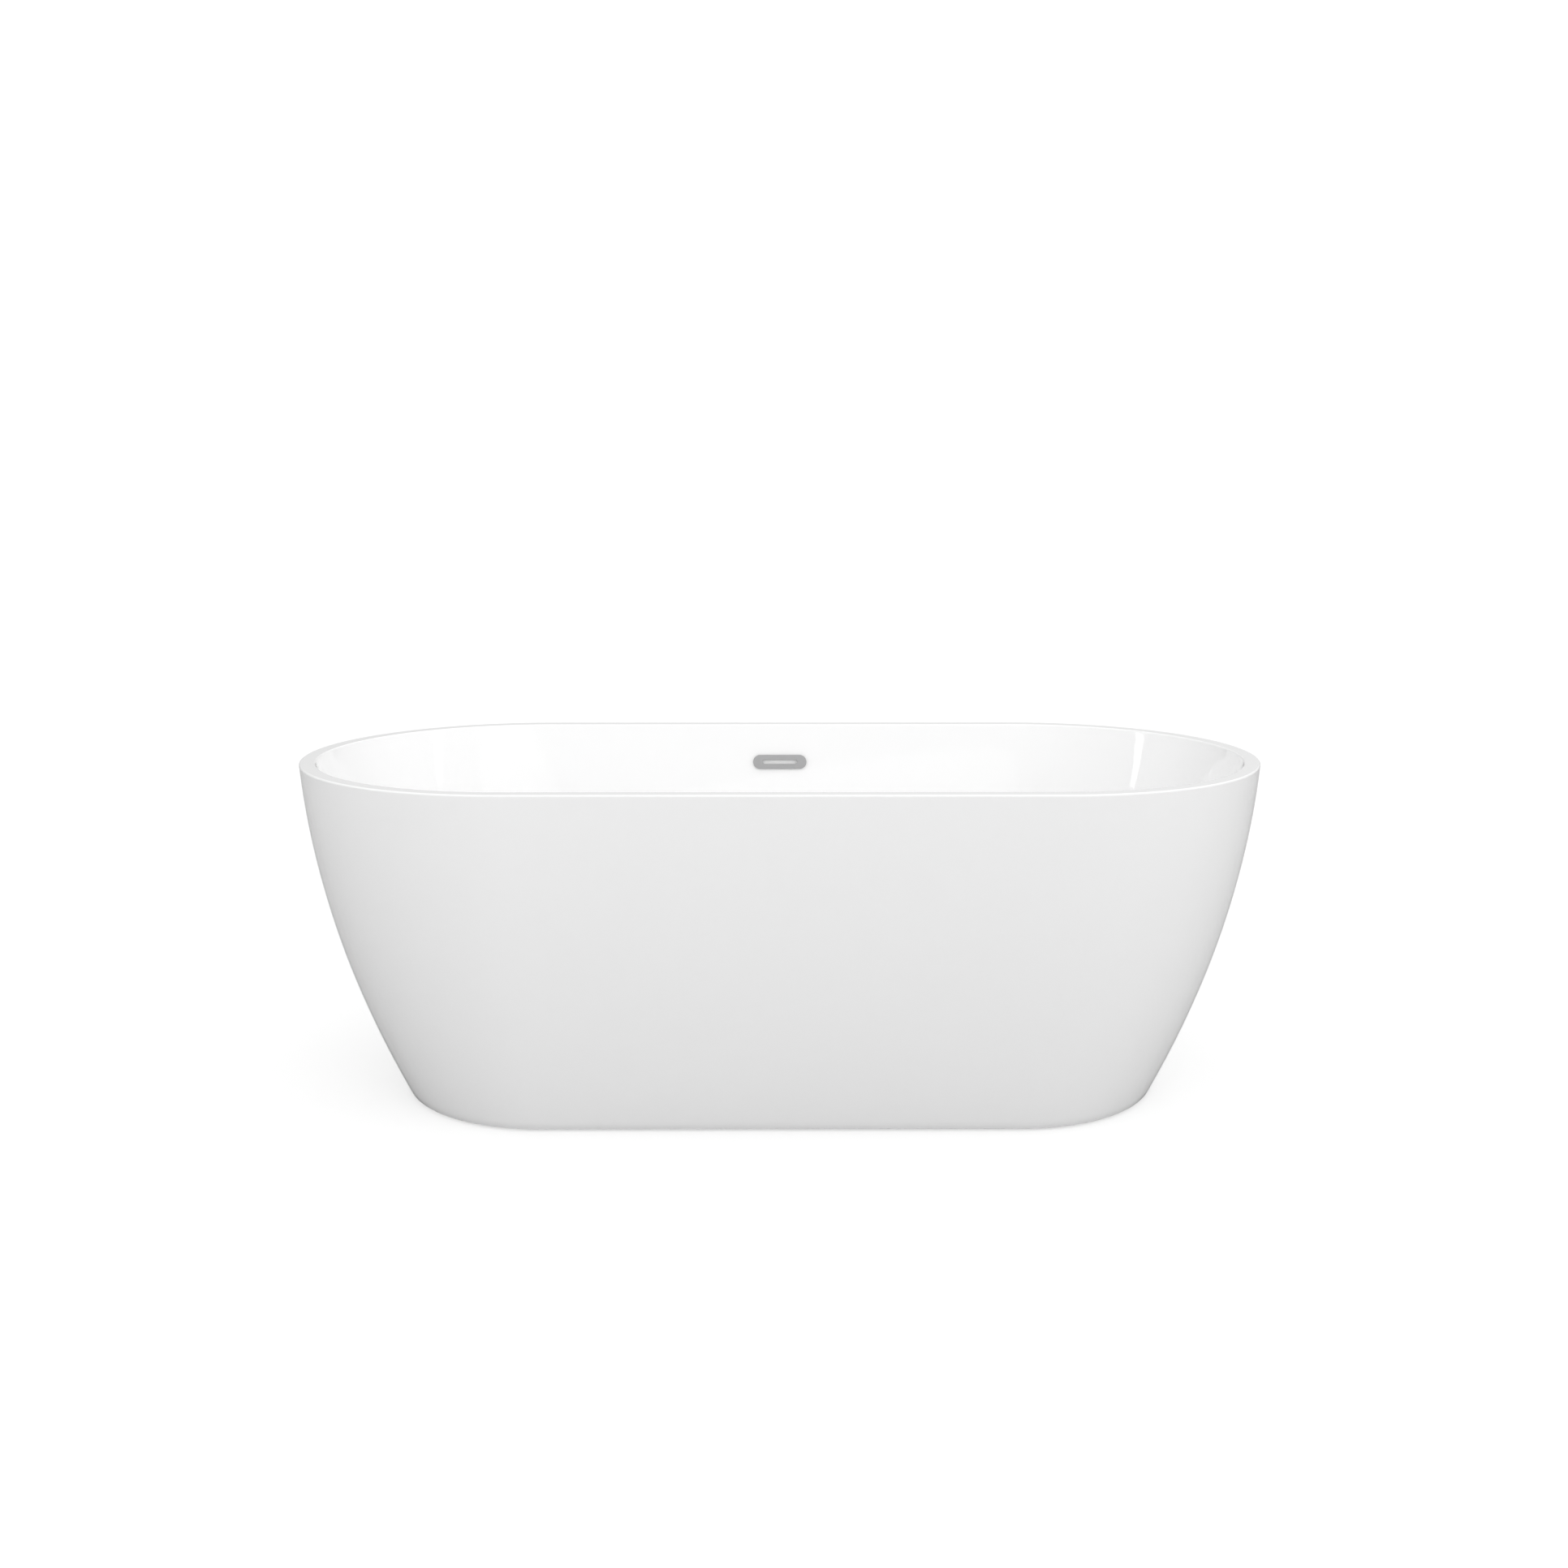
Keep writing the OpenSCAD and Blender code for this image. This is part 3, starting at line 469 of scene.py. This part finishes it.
def keep_modifiers(piece):
    """Puts the result of a piece's modifiers into its mesh."""
    drawn = piece.evaluated_get(bpy.context.evaluated_depsgraph_get())
    old = piece.data
    piece.data = bpy.data.meshes.new_from_object(drawn)
    piece.data.name = old.name
    piece.modifiers.clear()
    bpy.data.meshes.remove(old)


def cut(piece, cutter_bm):
    """Cuts a bmesh's volume out of a piece."""
    mesh = bpy.data.meshes.new("cutter")
    cutter_bm.to_mesh(mesh)
    cutter_bm.free()
    cutter = bpy.data.objects.new("cutter", mesh)
    bpy.context.scene.collection.objects.link(cutter)
    tool = piece.modifiers.new("cut", "BOOLEAN")
    tool.operation, tool.solver, tool.object = "DIFFERENCE", "EXACT", cutter
    bpy.context.view_layer.update()
    keep_modifiers(piece)
    bpy.data.objects.remove(cutter)
    bpy.data.meshes.remove(mesh)


def oval(half_length, half_width, reach, height, ends, sides):
    """Points of a level outline with straight sides and elliptical ends."""
    straight = half_length - reach
    points = []
    for way in (1, -1):
        for i in range(ends + 1):
            angle = math.radians(-90 + 180 * i / ends)
            points.append(Vector((way * (straight + reach * math.cos(angle)),
                                  way * half_width * math.sin(angle), height)))
        for i in range(1, sides):
            points.append(Vector((way * straight * (1 - 2 * i / sides), way * half_width, height)))
    return points


def disc_like(points, radius, height):
    """A level circle whose points lie in the directions of another outline's."""
    long_side = max(p.x for p in points)
    wide_side = max(p.y for p in points)
    angles = [math.atan2(p.y / wide_side, p.x / long_side) for p in points]
    return [Vector((radius * math.cos(a), radius * math.sin(a), height)) for a in angles]


def loft(outlines, closed=True):
    """Extrudes an outline through the others, each with as many points, and joins the last to the first."""
    bm = bmesh.new()
    verts = bmesh.ops.create_circle(bm, segments=len(outlines[0]), radius=1)["verts"]
    for vert, place in zip(verts, outlines[0]):
        vert.co = place
    first = edges = bm.edges[:]
    for outline in outlines[1:]:
        grown = bmesh.ops.extrude_edge_only(bm, edges=edges)["geom"]
        fresh = {g for g in grown if isinstance(g, bmesh.types.BMVert)}
        verts = [next(e.other_vert(v) for e in v.link_edges if e.other_vert(v) in fresh) for v in verts]
        edges = [g for g in grown if isinstance(g, bmesh.types.BMEdge)
                 and g.verts[0] in fresh and g.verts[1] in fresh]
        for vert, place in zip(verts, outline):
            vert.co = place
    if closed:
        bmesh.ops.bridge_loops(bm, edges=first + edges)
    bmesh.ops.remove_doubles(bm, verts=bm.verts[:], dist=0.000001)
    bmesh.ops.recalc_face_normals(bm, faces=bm.faces[:])
    return bm


def turned(profile, steps=96, centre=(0, 0, 0)):
    """Spins a closed or pole-to-pole profile of (radius, height) about a vertical axis."""
    bm = bmesh.new()
    verts = [bm.verts.new((centre[0] + r, centre[1], centre[2] + z)) for r, z in profile]
    for a, b in zip(verts, verts[1:]):
        bm.edges.new((a, b))
    if profile[0][0] > 0:
        bm.edges.new((verts[-1], verts[0]))
    bmesh.ops.spin(bm, geom=bm.verts[:] + bm.edges[:], cent=centre, axis=(0, 0, 1),
                   angle=2 * math.pi, steps=steps, use_merge=True)
    bmesh.ops.remove_doubles(bm, verts=bm.verts[:], dist=0.0000005)
    bmesh.ops.recalc_face_normals(bm, faces=bm.faces[:])
    return bm


def arc(centre, radius, start, end, steps=6):
    """Points of (across, along) on an arc, with its angles in degrees."""
    angles = [math.radians(start + (end - start) * i / steps) for i in range(steps + 1)]
    return [(centre[0] + radius * math.cos(a), centre[1] + radius * math.sin(a)) for a in angles]


# ---- The two shells ----

ENDS, SIDES = 56, 26
OVERFLOW_REACH = 24 * MM


class TubForm:
    """The shells' outlines, worked out from the tub's shape."""

    def __init__(self, shape):
        self.s = shape
        self.floor_edge = shape.depth - shape.fall
        self.wall_depth = self.floor_edge - shape.corner_height
        self.end_ratio = (shape.rim_reach - shape.rim_width) / (shape.width / 2 - shape.rim_width)
        self.slope = self.side(self.port_top()) - self.side(self.port_low())
        self.tilt = math.atan2(self.slope, self.port_low() - self.port_top())

    def port_top(self):
        """Depth of the top of the stretch of wall that the overflow sits on."""
        return self.s.overflow_depth - OVERFLOW_REACH

    def port_low(self):
        """Depth of the foot of that stretch."""
        return self.s.overflow_depth + OVERFLOW_REACH

    def opened(self, height, belly):
        """How far the apron has opened from foot (0) to rim (1) at a height."""
        t = height / RIM_TOP
        return (1 + belly) * t - belly * t * t

    def outer(self, height, inward=0.0, drawn_at=None):
        """The apron's outline at a height, moved inward and drawn at another height if one is given."""
        s = self.s
        end, side = self.opened(height, s.end_belly), self.opened(height, s.side_belly)
        return oval(s.foot_length / 2 + (s.length - s.foot_length) / 2 * end - inward,
                    s.foot_width / 2 + (s.width - s.foot_width) / 2 * side - inward,
                    s.foot_reach + (s.rim_reach - s.foot_reach) * end - inward,
                    height if drawn_at is None else drawn_at, ENDS, SIDES)

    def inset(self, depth, top, low):
        """How far a wall has come in at a depth, as its lean grows from top to low."""
        rise = math.tan(low) - math.tan(top)
        return self.s.rim_width + math.tan(top) * depth + rise * depth * depth / (2 * self.wall_depth)

    def end(self, depth):
        """Half the basin's inner length at a depth. side is half its inner width."""
        return self.s.length / 2 - self.inset(depth, self.s.end_lean_top, self.s.end_lean_low)

    def side(self, depth):
        return self.s.width / 2 - self.inset(depth, self.s.side_lean_top, self.s.side_lean_low)

    def corner(self, share):
        """Half length, half width and depth on the curve from wall (0) to floor (1)."""
        s = self.s
        sizes = []
        for start, low, reach in ((self.end(self.wall_depth), s.end_lean_low, s.corner_end),
                                  (self.side(self.wall_depth), s.side_lean_low, s.corner_side)):
            run = s.corner_height * math.tan(low)
            sizes.append(start - 2 * share * (1 - share) * run - share * share * (run + reach))
        return (*sizes, self.floor_edge - s.corner_height * (1 - share) ** 2)

    def inner(self, half_length, half_width, depth, behind=False):
        """The basin's outline at a depth, on its face or on its back."""
        across = down = 0.0
        if behind:
            laid = (depth - self.port_low()) / (self.floor_edge - self.port_low())
            angle = min(max(laid, 0.0), 1.0) * math.pi / 2
            across = self.s.wall / math.cos(self.tilt) * math.cos(angle)
            down = self.s.wall * math.sin(angle)
        return oval(half_length + across, half_width + across, half_width * self.end_ratio + across,
                    RIM_TOP - depth - down, ENDS, SIDES)

    def rim(self, inward, drop):
        """The rim's outline, moved inward and dropped below its top."""
        s = self.s
        return oval(s.length / 2 - inward, s.width / 2 - inward, s.rim_reach - inward, RIM_TOP - drop,
                    ENDS, SIDES)


def port_cutter(form):
    """The overflow's long round-ended hole, straight through the wall at the overflow's place."""
    half_long, half_high, reach = 37 * MM, 8 * MM, 20 * MM
    port = loft([oval(half_long, half_high, half_high, h, 12, 4) for h in (-reach, reach)], closed=False)
    bmesh.ops.holes_fill(port, edges=port.edges[:])
    bmesh.ops.recalc_face_normals(port, faces=port.faces[:])
    laid = overflow_place(form) @ Matrix.Rotation(math.pi / 2, 4, "X")
    bmesh.ops.transform(port, matrix=laid, verts=port.verts[:])
    return port


def overflow_place(form):
    """The frame of the overflow: X along the tub, Y out through the wall, Z up it."""
    side = (form.side(form.port_top()) + form.side(form.port_low())) / 2
    place = Matrix.Translation((0, side, RIM_TOP - form.s.overflow_depth))
    return place @ Matrix.Rotation(-form.tilt, 4, "X")


def spread(start, end, count):
    """Evenly spaced values from start to end, both included."""
    return [start + (end - start) * i / (count - 1) for i in range(count)]


def basin_outlines(form):
    """From the waste hole's edge underneath, up the back, over the rim and down to the waste hole again."""
    s = form.s
    hole = 24.5 * MM
    floor = form.inner(*form.corner(1.0))
    under = form.inner(*form.corner(1.0), behind=True)
    seat_z = RIM_TOP - s.depth
    support = 0.5 * MM
    deck = RIM_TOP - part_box("skirt")[1].z
    outlines = [disc_like(under, hole, seat_z - s.wall), disc_like(under, s.seat_radius, seat_z - s.wall)]
    outlines += [form.inner(*form.corner(share), behind=True) for share in spread(1.0, 0.0, 12)]
    outlines += [form.inner(form.end(d), form.side(d), d, behind=True)
                 for d in spread(form.wall_depth, deck, 14)[1:]]
    outlines += [form.outer(RIM_TOP - deck)]
    outlines += [form.rim(s.rim_round * (1 - math.cos(q)), s.rim_round * (1 - math.sin(q)))
                 for q in spread(0, math.pi / 2, 7)]
    outlines += [form.rim(s.rim_round + support, 0), form.rim(s.rim_width - s.rim_round - support, 0)]
    outlines += [form.rim(s.rim_width - s.rim_round * (1 - math.sin(q)), s.rim_round * (1 - math.cos(q)))
                 for q in spread(0, math.pi / 2, 7)]
    outlines += [form.inner(form.end(d), form.side(d), d)
                 for d in spread(s.rim_round, form.wall_depth, 26)[1:]]
    outlines += [form.inner(*form.corner(share)) for share in spread(0.0, 1.0, 19)[1:]]
    seat = disc_like(floor, s.seat_radius, seat_z)
    outlines += [[a.lerp(b, t) for a, b in zip(floor, seat)] for t in (0.02, 0.2, 0.4, 0.6, 0.8, 0.98, 1.0)]
    return outlines + [disc_like(floor, s.seat_radius - 1 * MM, seat_z), disc_like(floor, hole, seat_z)]


def apron_outlines(form):
    """Up the outside, over the top edge, down the inside and round the return flange."""
    s = form.s
    low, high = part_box("skirt")[0].z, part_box("skirt")[1].z
    edge, flange = 0.6 * MM, 5 * MM
    outlines = [form.outer(low, edge, low), form.outer(low + edge * 0.3, edge * 0.3)]
    outlines += [form.outer(z) for z in spread(low + edge, high, 44)]
    outlines += [form.outer(z, s.apron_wall) for z in spread(high, low + flange, 22)]
    outlines += [form.outer(low, s.flange_width, low + flange), form.outer(low, s.flange_width, low)]
    return outlines


# ---- Fittings ----

def cover_outlines():
    """Outlines of the overflow's cover in its own frame: height 0 at the wall, rising into the tub."""
    half_l, half_h, deep, skin = 53 * MM, 14 * MM, 4 * MM, 1.5 * MM
    slot_l, slot_h, edge, lip, support = 34 * MM, 4 * MM, 0.6 * MM, 0.3 * MM, 0.2 * MM
    ends, sides = 28, 10

    def outline(inward, height):
        return oval(half_l - inward, half_h - inward, half_h - inward, height, ends, sides)

    def slot(outward, height):
        return oval(slot_l + outward, slot_h + outward, slot_h + outward, height, ends, sides)

    rows = [outline(0, 0)]
    rows += [outline(edge - x, deep - edge + y) for x, y in arc((0, 0), edge, 0, 90)]
    rows += [outline(edge + support, deep), slot(lip + support, deep)]
    rows += [slot(lip - y, deep - lip + x) for y, x in arc((0, 0), lip, 0, 90)][::-1]
    return rows + [slot(0, deep - skin), outline(skin, deep - skin), outline(skin, 0)]


def flange_profile():
    """Half section of the waste's flange and threaded tube: (radius, height)."""
    low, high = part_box("drain_flange")[0].z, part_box("drain_flange")[1].z
    brim = extent("drain_flange").x / 2
    face, bore, wall = high - 3 * MM, 20 * MM, 3.5 * MM
    mouth, edge, tube = 2.6 * MM, 1.0 * MM, bore + wall
    pitch, ridge, neck, end = 1.8 * MM, 0.45 * MM, 8 * MM, 2 * MM
    rows = [(bore, low), (bore, high - mouth)]
    rows += arc((bore + mouth, high - mouth), mouth, 180, 90, 6)[1:]
    rows += [(bore + 7 * MM, high - 0.25 * MM), (brim - 3 * MM, high - 0.9 * MM)]
    rows += arc((brim - edge, face + edge), edge, 60, -60, 6)
    rows += [(brim - 1.6 * MM, face), (tube, face)]
    height = face - neck
    while height > low + end:
        rows += [(tube, height), (tube - ridge, height - pitch / 2)]
        height -= pitch
    return rows + [(tube - ridge, low)]


def cap_profile():
    """Half section of the stopper's domed cap, from the top of its stub's hole to the crown."""
    low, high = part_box("stopper_cap")[0].z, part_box("stopper_cap")[1].z
    brim = extent("stopper_cap").x / 2
    stub, step, edge, shoulder = 3 * MM, 2 * MM, 1.2 * MM, low + 3.4 * MM
    rows = [(0, low + stub), (stub, low + stub), (stub, low)]
    rows += [(brim - step, low), (brim - step, low + 0.6 * MM)]
    rows += arc((brim - edge, low + 1.6 * MM), edge, -70, 60, 8)
    crown, rise = brim - 2.2 * MM, high - shoulder
    rows += [(crown * math.cos(a), shoulder + rise * math.sin(a))
             for a in map(math.radians, range(8, 86, 6))]
    return rows + [(0, high)]


def pad_profile():
    """Half section of a levelling foot's pad with its socket."""
    low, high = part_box("foot_pad_front_left")
    brim, tall = (high.x - low.x) / 2, high.z - low.z
    neck, bore, socket = 11 * MM, 6.05 * MM, 9.95 * MM
    hollow, edge, waist, lip, chamfer = 0.8 * MM, 1.5 * MM, 7 * MM, 1 * MM, 0.5 * MM
    rows = [(0, hollow), (brim - 5 * MM, hollow), (brim - 6 * MM, 0)]
    rows += arc((brim - edge, edge), edge, -90, 0, 5)
    rows += arc((brim - edge, 3 * edge), edge, 0, 70, 5)
    rows += arc((neck + waist, 13.5 * MM), waist, -110, -180, 7)
    rows += arc((neck - lip, tall - lip), lip, 0, 90, 4)
    return rows + [(bore + chamfer, tall), (bore, tall - chamfer), (bore, socket), (0, socket)]


def threaded_stud(node):
    """A stud with a rolled thread, a chamfered hexagon near its foot and flat ends."""
    low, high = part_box(node)
    centre = middle(node)
    radius, root, pitch, chamfer = 6 * MM, 5.0 * MM, 1.75 * MM, 0.6 * MM
    thread_low, thread_high = low.z + 24 * MM, high.z - 1.2 * MM
    rows = [(0, low.z), (radius - chamfer, low.z), (radius, low.z + chamfer), (radius, thread_low - pitch)]
    count = int((thread_high - thread_low) / pitch)
    for i in range(count):
        base = thread_low + i * pitch
        rows += [(root, base), (radius, base + 0.45 * pitch), (radius, base + 0.6 * pitch)]
    rows += [(root, thread_low + count * pitch), (root - 0.4 * MM, high.z), (0, high.z)]
    bm = turned(rows, 40, (centre.x, centre.y, 0))
    half_flats, foot, tall, level = 8.7 * MM, low.z + 12.5 * MM, 8 * MM, 0.001 * MM
    point = half_flats / math.cos(math.pi / 6)
    nut = bmesh.ops.create_cone(bm, cap_ends=True, segments=6, radius1=point, radius2=point,
                                depth=tall)["verts"]
    bmesh.ops.rotate(bm, verts=nut, cent=(0, 0, 0), matrix=Matrix.Rotation(math.pi / 6, 3, "Z"))
    bmesh.ops.translate(bm, verts=nut, vec=(centre.x, centre.y, foot + tall / 2))
    rims = list({e for v in nut for e in v.link_edges if abs(e.verts[0].co.z - e.verts[1].co.z) < level})
    bmesh.ops.bevel(bm, geom=rims, offset=0.7 * MM, offset_type="OFFSET", affect="EDGES", segments=2,
                    profile=0.5, material=-1)
    return bm


def spring_helix():
    """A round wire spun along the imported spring's height."""
    low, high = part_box("stopper_spring")
    wire = 0.45 * MM
    mid = (high.x - low.x) / 2 - wire
    turns, facets, rise = 6, 30, high.z - low.z - 2 * wire
    bm = bmesh.new()
    ring = bmesh.ops.create_circle(bm, segments=10, radius=wire, cap_ends=True)["verts"]
    bmesh.ops.rotate(bm, verts=ring, cent=(0, 0, 0), matrix=Matrix.Rotation(math.pi / 2, 3, "X"))
    bmesh.ops.translate(bm, verts=ring, vec=(mid, 0, low.z + wire))
    steps = turns * facets
    bmesh.ops.spin(bm, geom=bm.faces[:], cent=(0, 0, 0), axis=(0, 0, 1), dvec=(0, 0, rise / steps),
                   angle=2 * math.pi * turns, steps=steps)
    bmesh.ops.recalc_face_normals(bm, faces=bm.faces[:])
    return bm


# ---- Operators ----

class Maker(bpy.types.Operator):
    """Gives the operators their undo step and the tub's form"""
    bl_options = {"REGISTER", "UNDO"}

    def form(self):
        return TubForm(bpy.context.scene.tub_shape)


class TUB_OT_basin(Maker):
    """Moulds the acrylic basin with its rim, waste hole and overflow hole"""
    bl_idname = "tub.basin"
    bl_label = "Basin"

    def execute(self, context):
        form = self.form()
        piece = finished(loft(basin_outlines(form)), "basin_shell", ["basin"])
        cut(piece, port_cutter(form))
        sharpen(piece, 45)
        return {"FINISHED"}


class TUB_OT_apron(Maker):
    """Moulds the acrylic apron with its return flange"""
    bl_idname = "tub.apron"
    bl_label = "Apron"

    def execute(self, context):
        sharpen(finished(loft(apron_outlines(self.form())), "apron_shell", ["skirt"]), 45)
        return {"FINISHED"}


class TUB_OT_overflow_cover(Maker):
    """Presses the slotted cover of the overflow"""
    bl_idname = "tub.overflow_cover"
    bl_label = "Overflow cover"

    def execute(self, context):
        bm = loft(cover_outlines())
        turn = Matrix.Rotation(math.pi / 2, 4, "X")
        bmesh.ops.transform(bm, matrix=overflow_place(self.form()) @ turn, verts=bm.verts[:])
        sharpen(finished(bm, "overflow_plate", ["overflow_cover"]), 50)
        return {"FINISHED"}


class TUB_OT_waste(Maker):
    """Turns the waste's flange with its threaded tube and cross, and the stopper's domed cap"""
    bl_idname = "tub.waste"
    bl_label = "Waste and stopper cap"

    def execute(self, context):
        bm = turned(flange_profile())
        hub_low, hub_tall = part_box("drain_flange")[0].z + 12 * MM, 6 * MM
        hub_high = hub_low + hub_tall
        bore, rim, chamfer = 5 * MM, 8 * MM, 0.4 * MM
        hub = turned([(bore, hub_low), (bore, hub_high), (rim - chamfer, hub_high),
                      (rim, hub_high - chamfer), (rim, hub_low)], 48)
        spokes, long, thick, out = 6, 13 * MM, 3 * MM, 14 * MM
        for i in range(spokes):
            spoke = bmesh.ops.create_cube(hub, size=1)["verts"]
            bmesh.ops.scale(hub, verts=spoke, vec=(long, thick, hub_tall))
            bmesh.ops.translate(hub, verts=spoke, vec=(out, 0, hub_low + hub_tall / 2))
            turn = Matrix.Rotation(2 * math.pi * i / spokes, 3, "Z")
            bmesh.ops.rotate(hub, verts=spoke, cent=(0, 0, 0), matrix=turn)
        mesh = bpy.data.meshes.new("spokes")
        hub.to_mesh(mesh)
        hub.free()
        bm.from_mesh(mesh)
        bpy.data.meshes.remove(mesh)
        sharpen(finished(bm, "waste_flange", ["drain_flange"]))
        sharpen(finished(turned(cap_profile()), "stopper_dome", ["stopper_cap"], "stopper"), 40)
        return {"FINISHED"}


class TUB_OT_spring(Maker):
    """Winds the stopper's spring"""
    bl_idname = "tub.spring"
    bl_label = "Stopper spring"

    def execute(self, context):
        low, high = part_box("stopper_spring")
        piece = finished(spring_helix(), "coil_spring", ["stopper_spring"])
        tall = high.z - low.z
        travel = max(abs(value) for value in joint_range("stopper_slide"))
        (tall - travel) / tall
        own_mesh(piece)
        return {"FINISHED"}


class TUB_OT_feet(Maker):
    """Makes the four levelling feet: threaded studs and moulded pads"""
    bl_idname = "tub.feet"
    bl_label = "Levelling feet"

    def execute(self, context):
        for corner in CORNERS:
            pad, stud = "foot_pad_" + corner, "foot_stud_" + corner
            place = middle(pad)
            bm = turned(pad_profile(), 64, (place.x, place.y, 0))
            sharpen(finished(bm, "moulded_pad_" + corner, [pad], "pad_" + corner))
            sharpen(finished(threaded_stud(stud), "threaded_stud_" + corner, [stud], "stud_" + corner))
        return {"FINISHED"}


class TUB_OT_packed_parts(Maker):
    """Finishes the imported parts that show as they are"""
    bl_idname = "tub.packed_parts"
    bl_label = "Frame and pipework finishes"

    def execute(self, context):
        for node, part in frame["nodes"].items():
            if not part.hide_render:
                for place in part.material_slots:
                    place.material = finish_of(SLOTS[node])
        return {"FINISHED"}


class TUB_OT_studio(Maker):
    """Sets up the pale floor, the soft lights and the camera"""
    bl_idname = "tub.studio"
    bl_label = "Studio"

    def lamp(self, name, kind, place, aim, **settings):
        light = bpy.data.lights.new(name, kind)
        for setting, value in settings.items():
            setattr(light, setting, value)
        lamp = bpy.data.objects.new(name, light)
        lamp.location = place
        lamp.rotation_euler = (Vector(aim) - Vector(place)).to_track_quat("-Z", "Y").to_euler()
        lamp.visible_camera = False
        bpy.context.scene.collection.objects.link(lamp)
        return lamp

    def strip(self, name, low, high, wide, power):
        """A narrow light that leans away from the tub, from its low end to its high end."""
        low, high = Vector(low), Vector(high)
        along = (high - low).normalized()
        back = along.cross(Vector((0, 1, 0))).normalized()
        if back.x * low.x < 0:
            back = -back
        lamp = self.lamp(name, "AREA", (low + high) / 2, (0, 0, 0), shape="RECTANGLE", size=wide,
                         size_y=(high - low).length, energy=power)
        lamp.rotation_euler = Matrix((along.cross(back), along, back)).transposed().to_euler()

    def execute(self, context):
        studio, scene = context.scene.tub_studio, context.scene
        scene.view_settings.view_transform = "Standard"

        bm = bmesh.new()
        bmesh.ops.create_grid(bm, x_segments=2, y_segments=2, size=60)
        mesh = bpy.data.meshes.new("studio_floor")
        bm.to_mesh(mesh)
        bm.free()
        floor = bpy.data.objects.new("studio_floor", mesh)
        scene.collection.objects.link(floor)
        paint = Paint("studio_floor", (0.94, 0.94, 0.94), roughness=0.9)
        paint.shader.inputs["Specular IOR Level"].default_value = 0.0
        paint.shader.inputs["Alpha"].default_value = studio.floor_cover
        paint.mottle(paint.noise(0.8, detail=2.0) * 0.2, (0.93, 0.93, 0.93))
        mesh.materials.append(paint.material)

        world = bpy.data.worlds.new("studio_room")
        world.use_nodes = True
        world.node_tree.nodes.clear()
        room = Graph(world.node_tree)
        way = room.node("ShaderNodeTexCoord", {}, (), "Generated")
        right, back, upward = (room.node("ShaderNodeSeparateXYZ", {}, {"Vector": way}, axis)
                               for axis in "XYZ")
        level = room.node("ShaderNodeMapRange", {"interpolation_type": "SMOOTHSTEP"}, {
            "Value": upward, "From Min": -0.2, "From Max": 0.1, "To Min": studio.low_light,
            "To Max": studio.room_light})
        level = level - back.at_least(0) * studio.back_dim - (right * -1).at_least(0) * studio.left_dim
        white = (1, 1, 1, 1)
        lit = room.node("ShaderNodeBackground", {}, {"Color": white, "Strength": level.at_least(0)})
        seen = room.node("ShaderNodeBackground", {}, {"Color": white, "Strength": studio.backdrop})
        straight = room.node("ShaderNodeLightPath", {}, (), "Is Camera Ray")
        both = room.node("ShaderNodeMixShader", {}, (straight, lit, seen))
        out = world.node_tree.nodes.new("ShaderNodeOutputWorld")
        world.node_tree.links.new(both.socket, out.inputs["Surface"])
        scene.world = world

        aim = (0, 0, RIM_TOP * 0.6)
        self.lamp("key_light", "SUN", place=(1.0, -3.4, 2.4), aim=aim, energy=studio.key_light,
                  angle=math.radians(50))
        self.strip("left_strip", low=(-3.2, -1.06, 1.28), high=(-6.4, -1.15, 3.31), wide=0.42,
                   power=studio.strip_power)
        self.strip("right_strip", low=(3.2, -2.03, 1.38), high=(6.4, -2.44, 3.42), wide=0.55,
                   power=studio.strip_power * 0.4)

        camera = bpy.data.cameras.new("camera")
        camera.lens, camera.sensor_width = studio.lens, 36
        camera.clip_end = 200
        seat = bpy.data.objects.new("camera", camera)
        seat.location = studio.camera_place
        seat.rotation_euler = (math.pi / 2 - studio.camera_pitch, 0, -studio.camera_turn)
        scene.collection.objects.link(seat)
        scene.camera = seat
        return {"FINISHED"}


OPERATORS = (
    TUB_OT_studio, TUB_OT_basin, TUB_OT_apron, TUB_OT_overflow_cover, TUB_OT_waste, TUB_OT_spring,
    TUB_OT_feet, TUB_OT_packed_parts,
)


class TUB_PT_panel(bpy.types.Panel):
    """Lists the tub's pieces"""
    bl_label = "Bathtub"
    bl_space_type = "VIEW_3D"
    bl_region_type = "UI"
    bl_category = "Bathtub"

    def draw(self, context):
        for operator in OPERATORS:
            self.layout.operator(operator.bl_idname)
        for name, group in SETTINGS:
            box = self.layout.box()
            for field in group.__annotations__:
                box.prop(getattr(context.scene, name), field)


def register():
    for name, group in SETTINGS:
        bpy.utils.register_class(group)
        setattr(bpy.types.Scene, name, bpy.props.PointerProperty(type=group))
    for item in (*OPERATORS, TUB_PT_panel):
        bpy.utils.register_class(item)


def unregister():
    for item in reversed((*OPERATORS, TUB_PT_panel)):
        bpy.utils.unregister_class(item)
    for name, group in reversed(SETTINGS):
        delattr(bpy.types.Scene, name)
        bpy.utils.unregister_class(group)


def main():
    register()
    for operator in OPERATORS:
        family, call = operator.bl_idname.split(".")
        getattr(getattr(bpy.ops, family), call)()


if __name__ == "__main__":
    main()
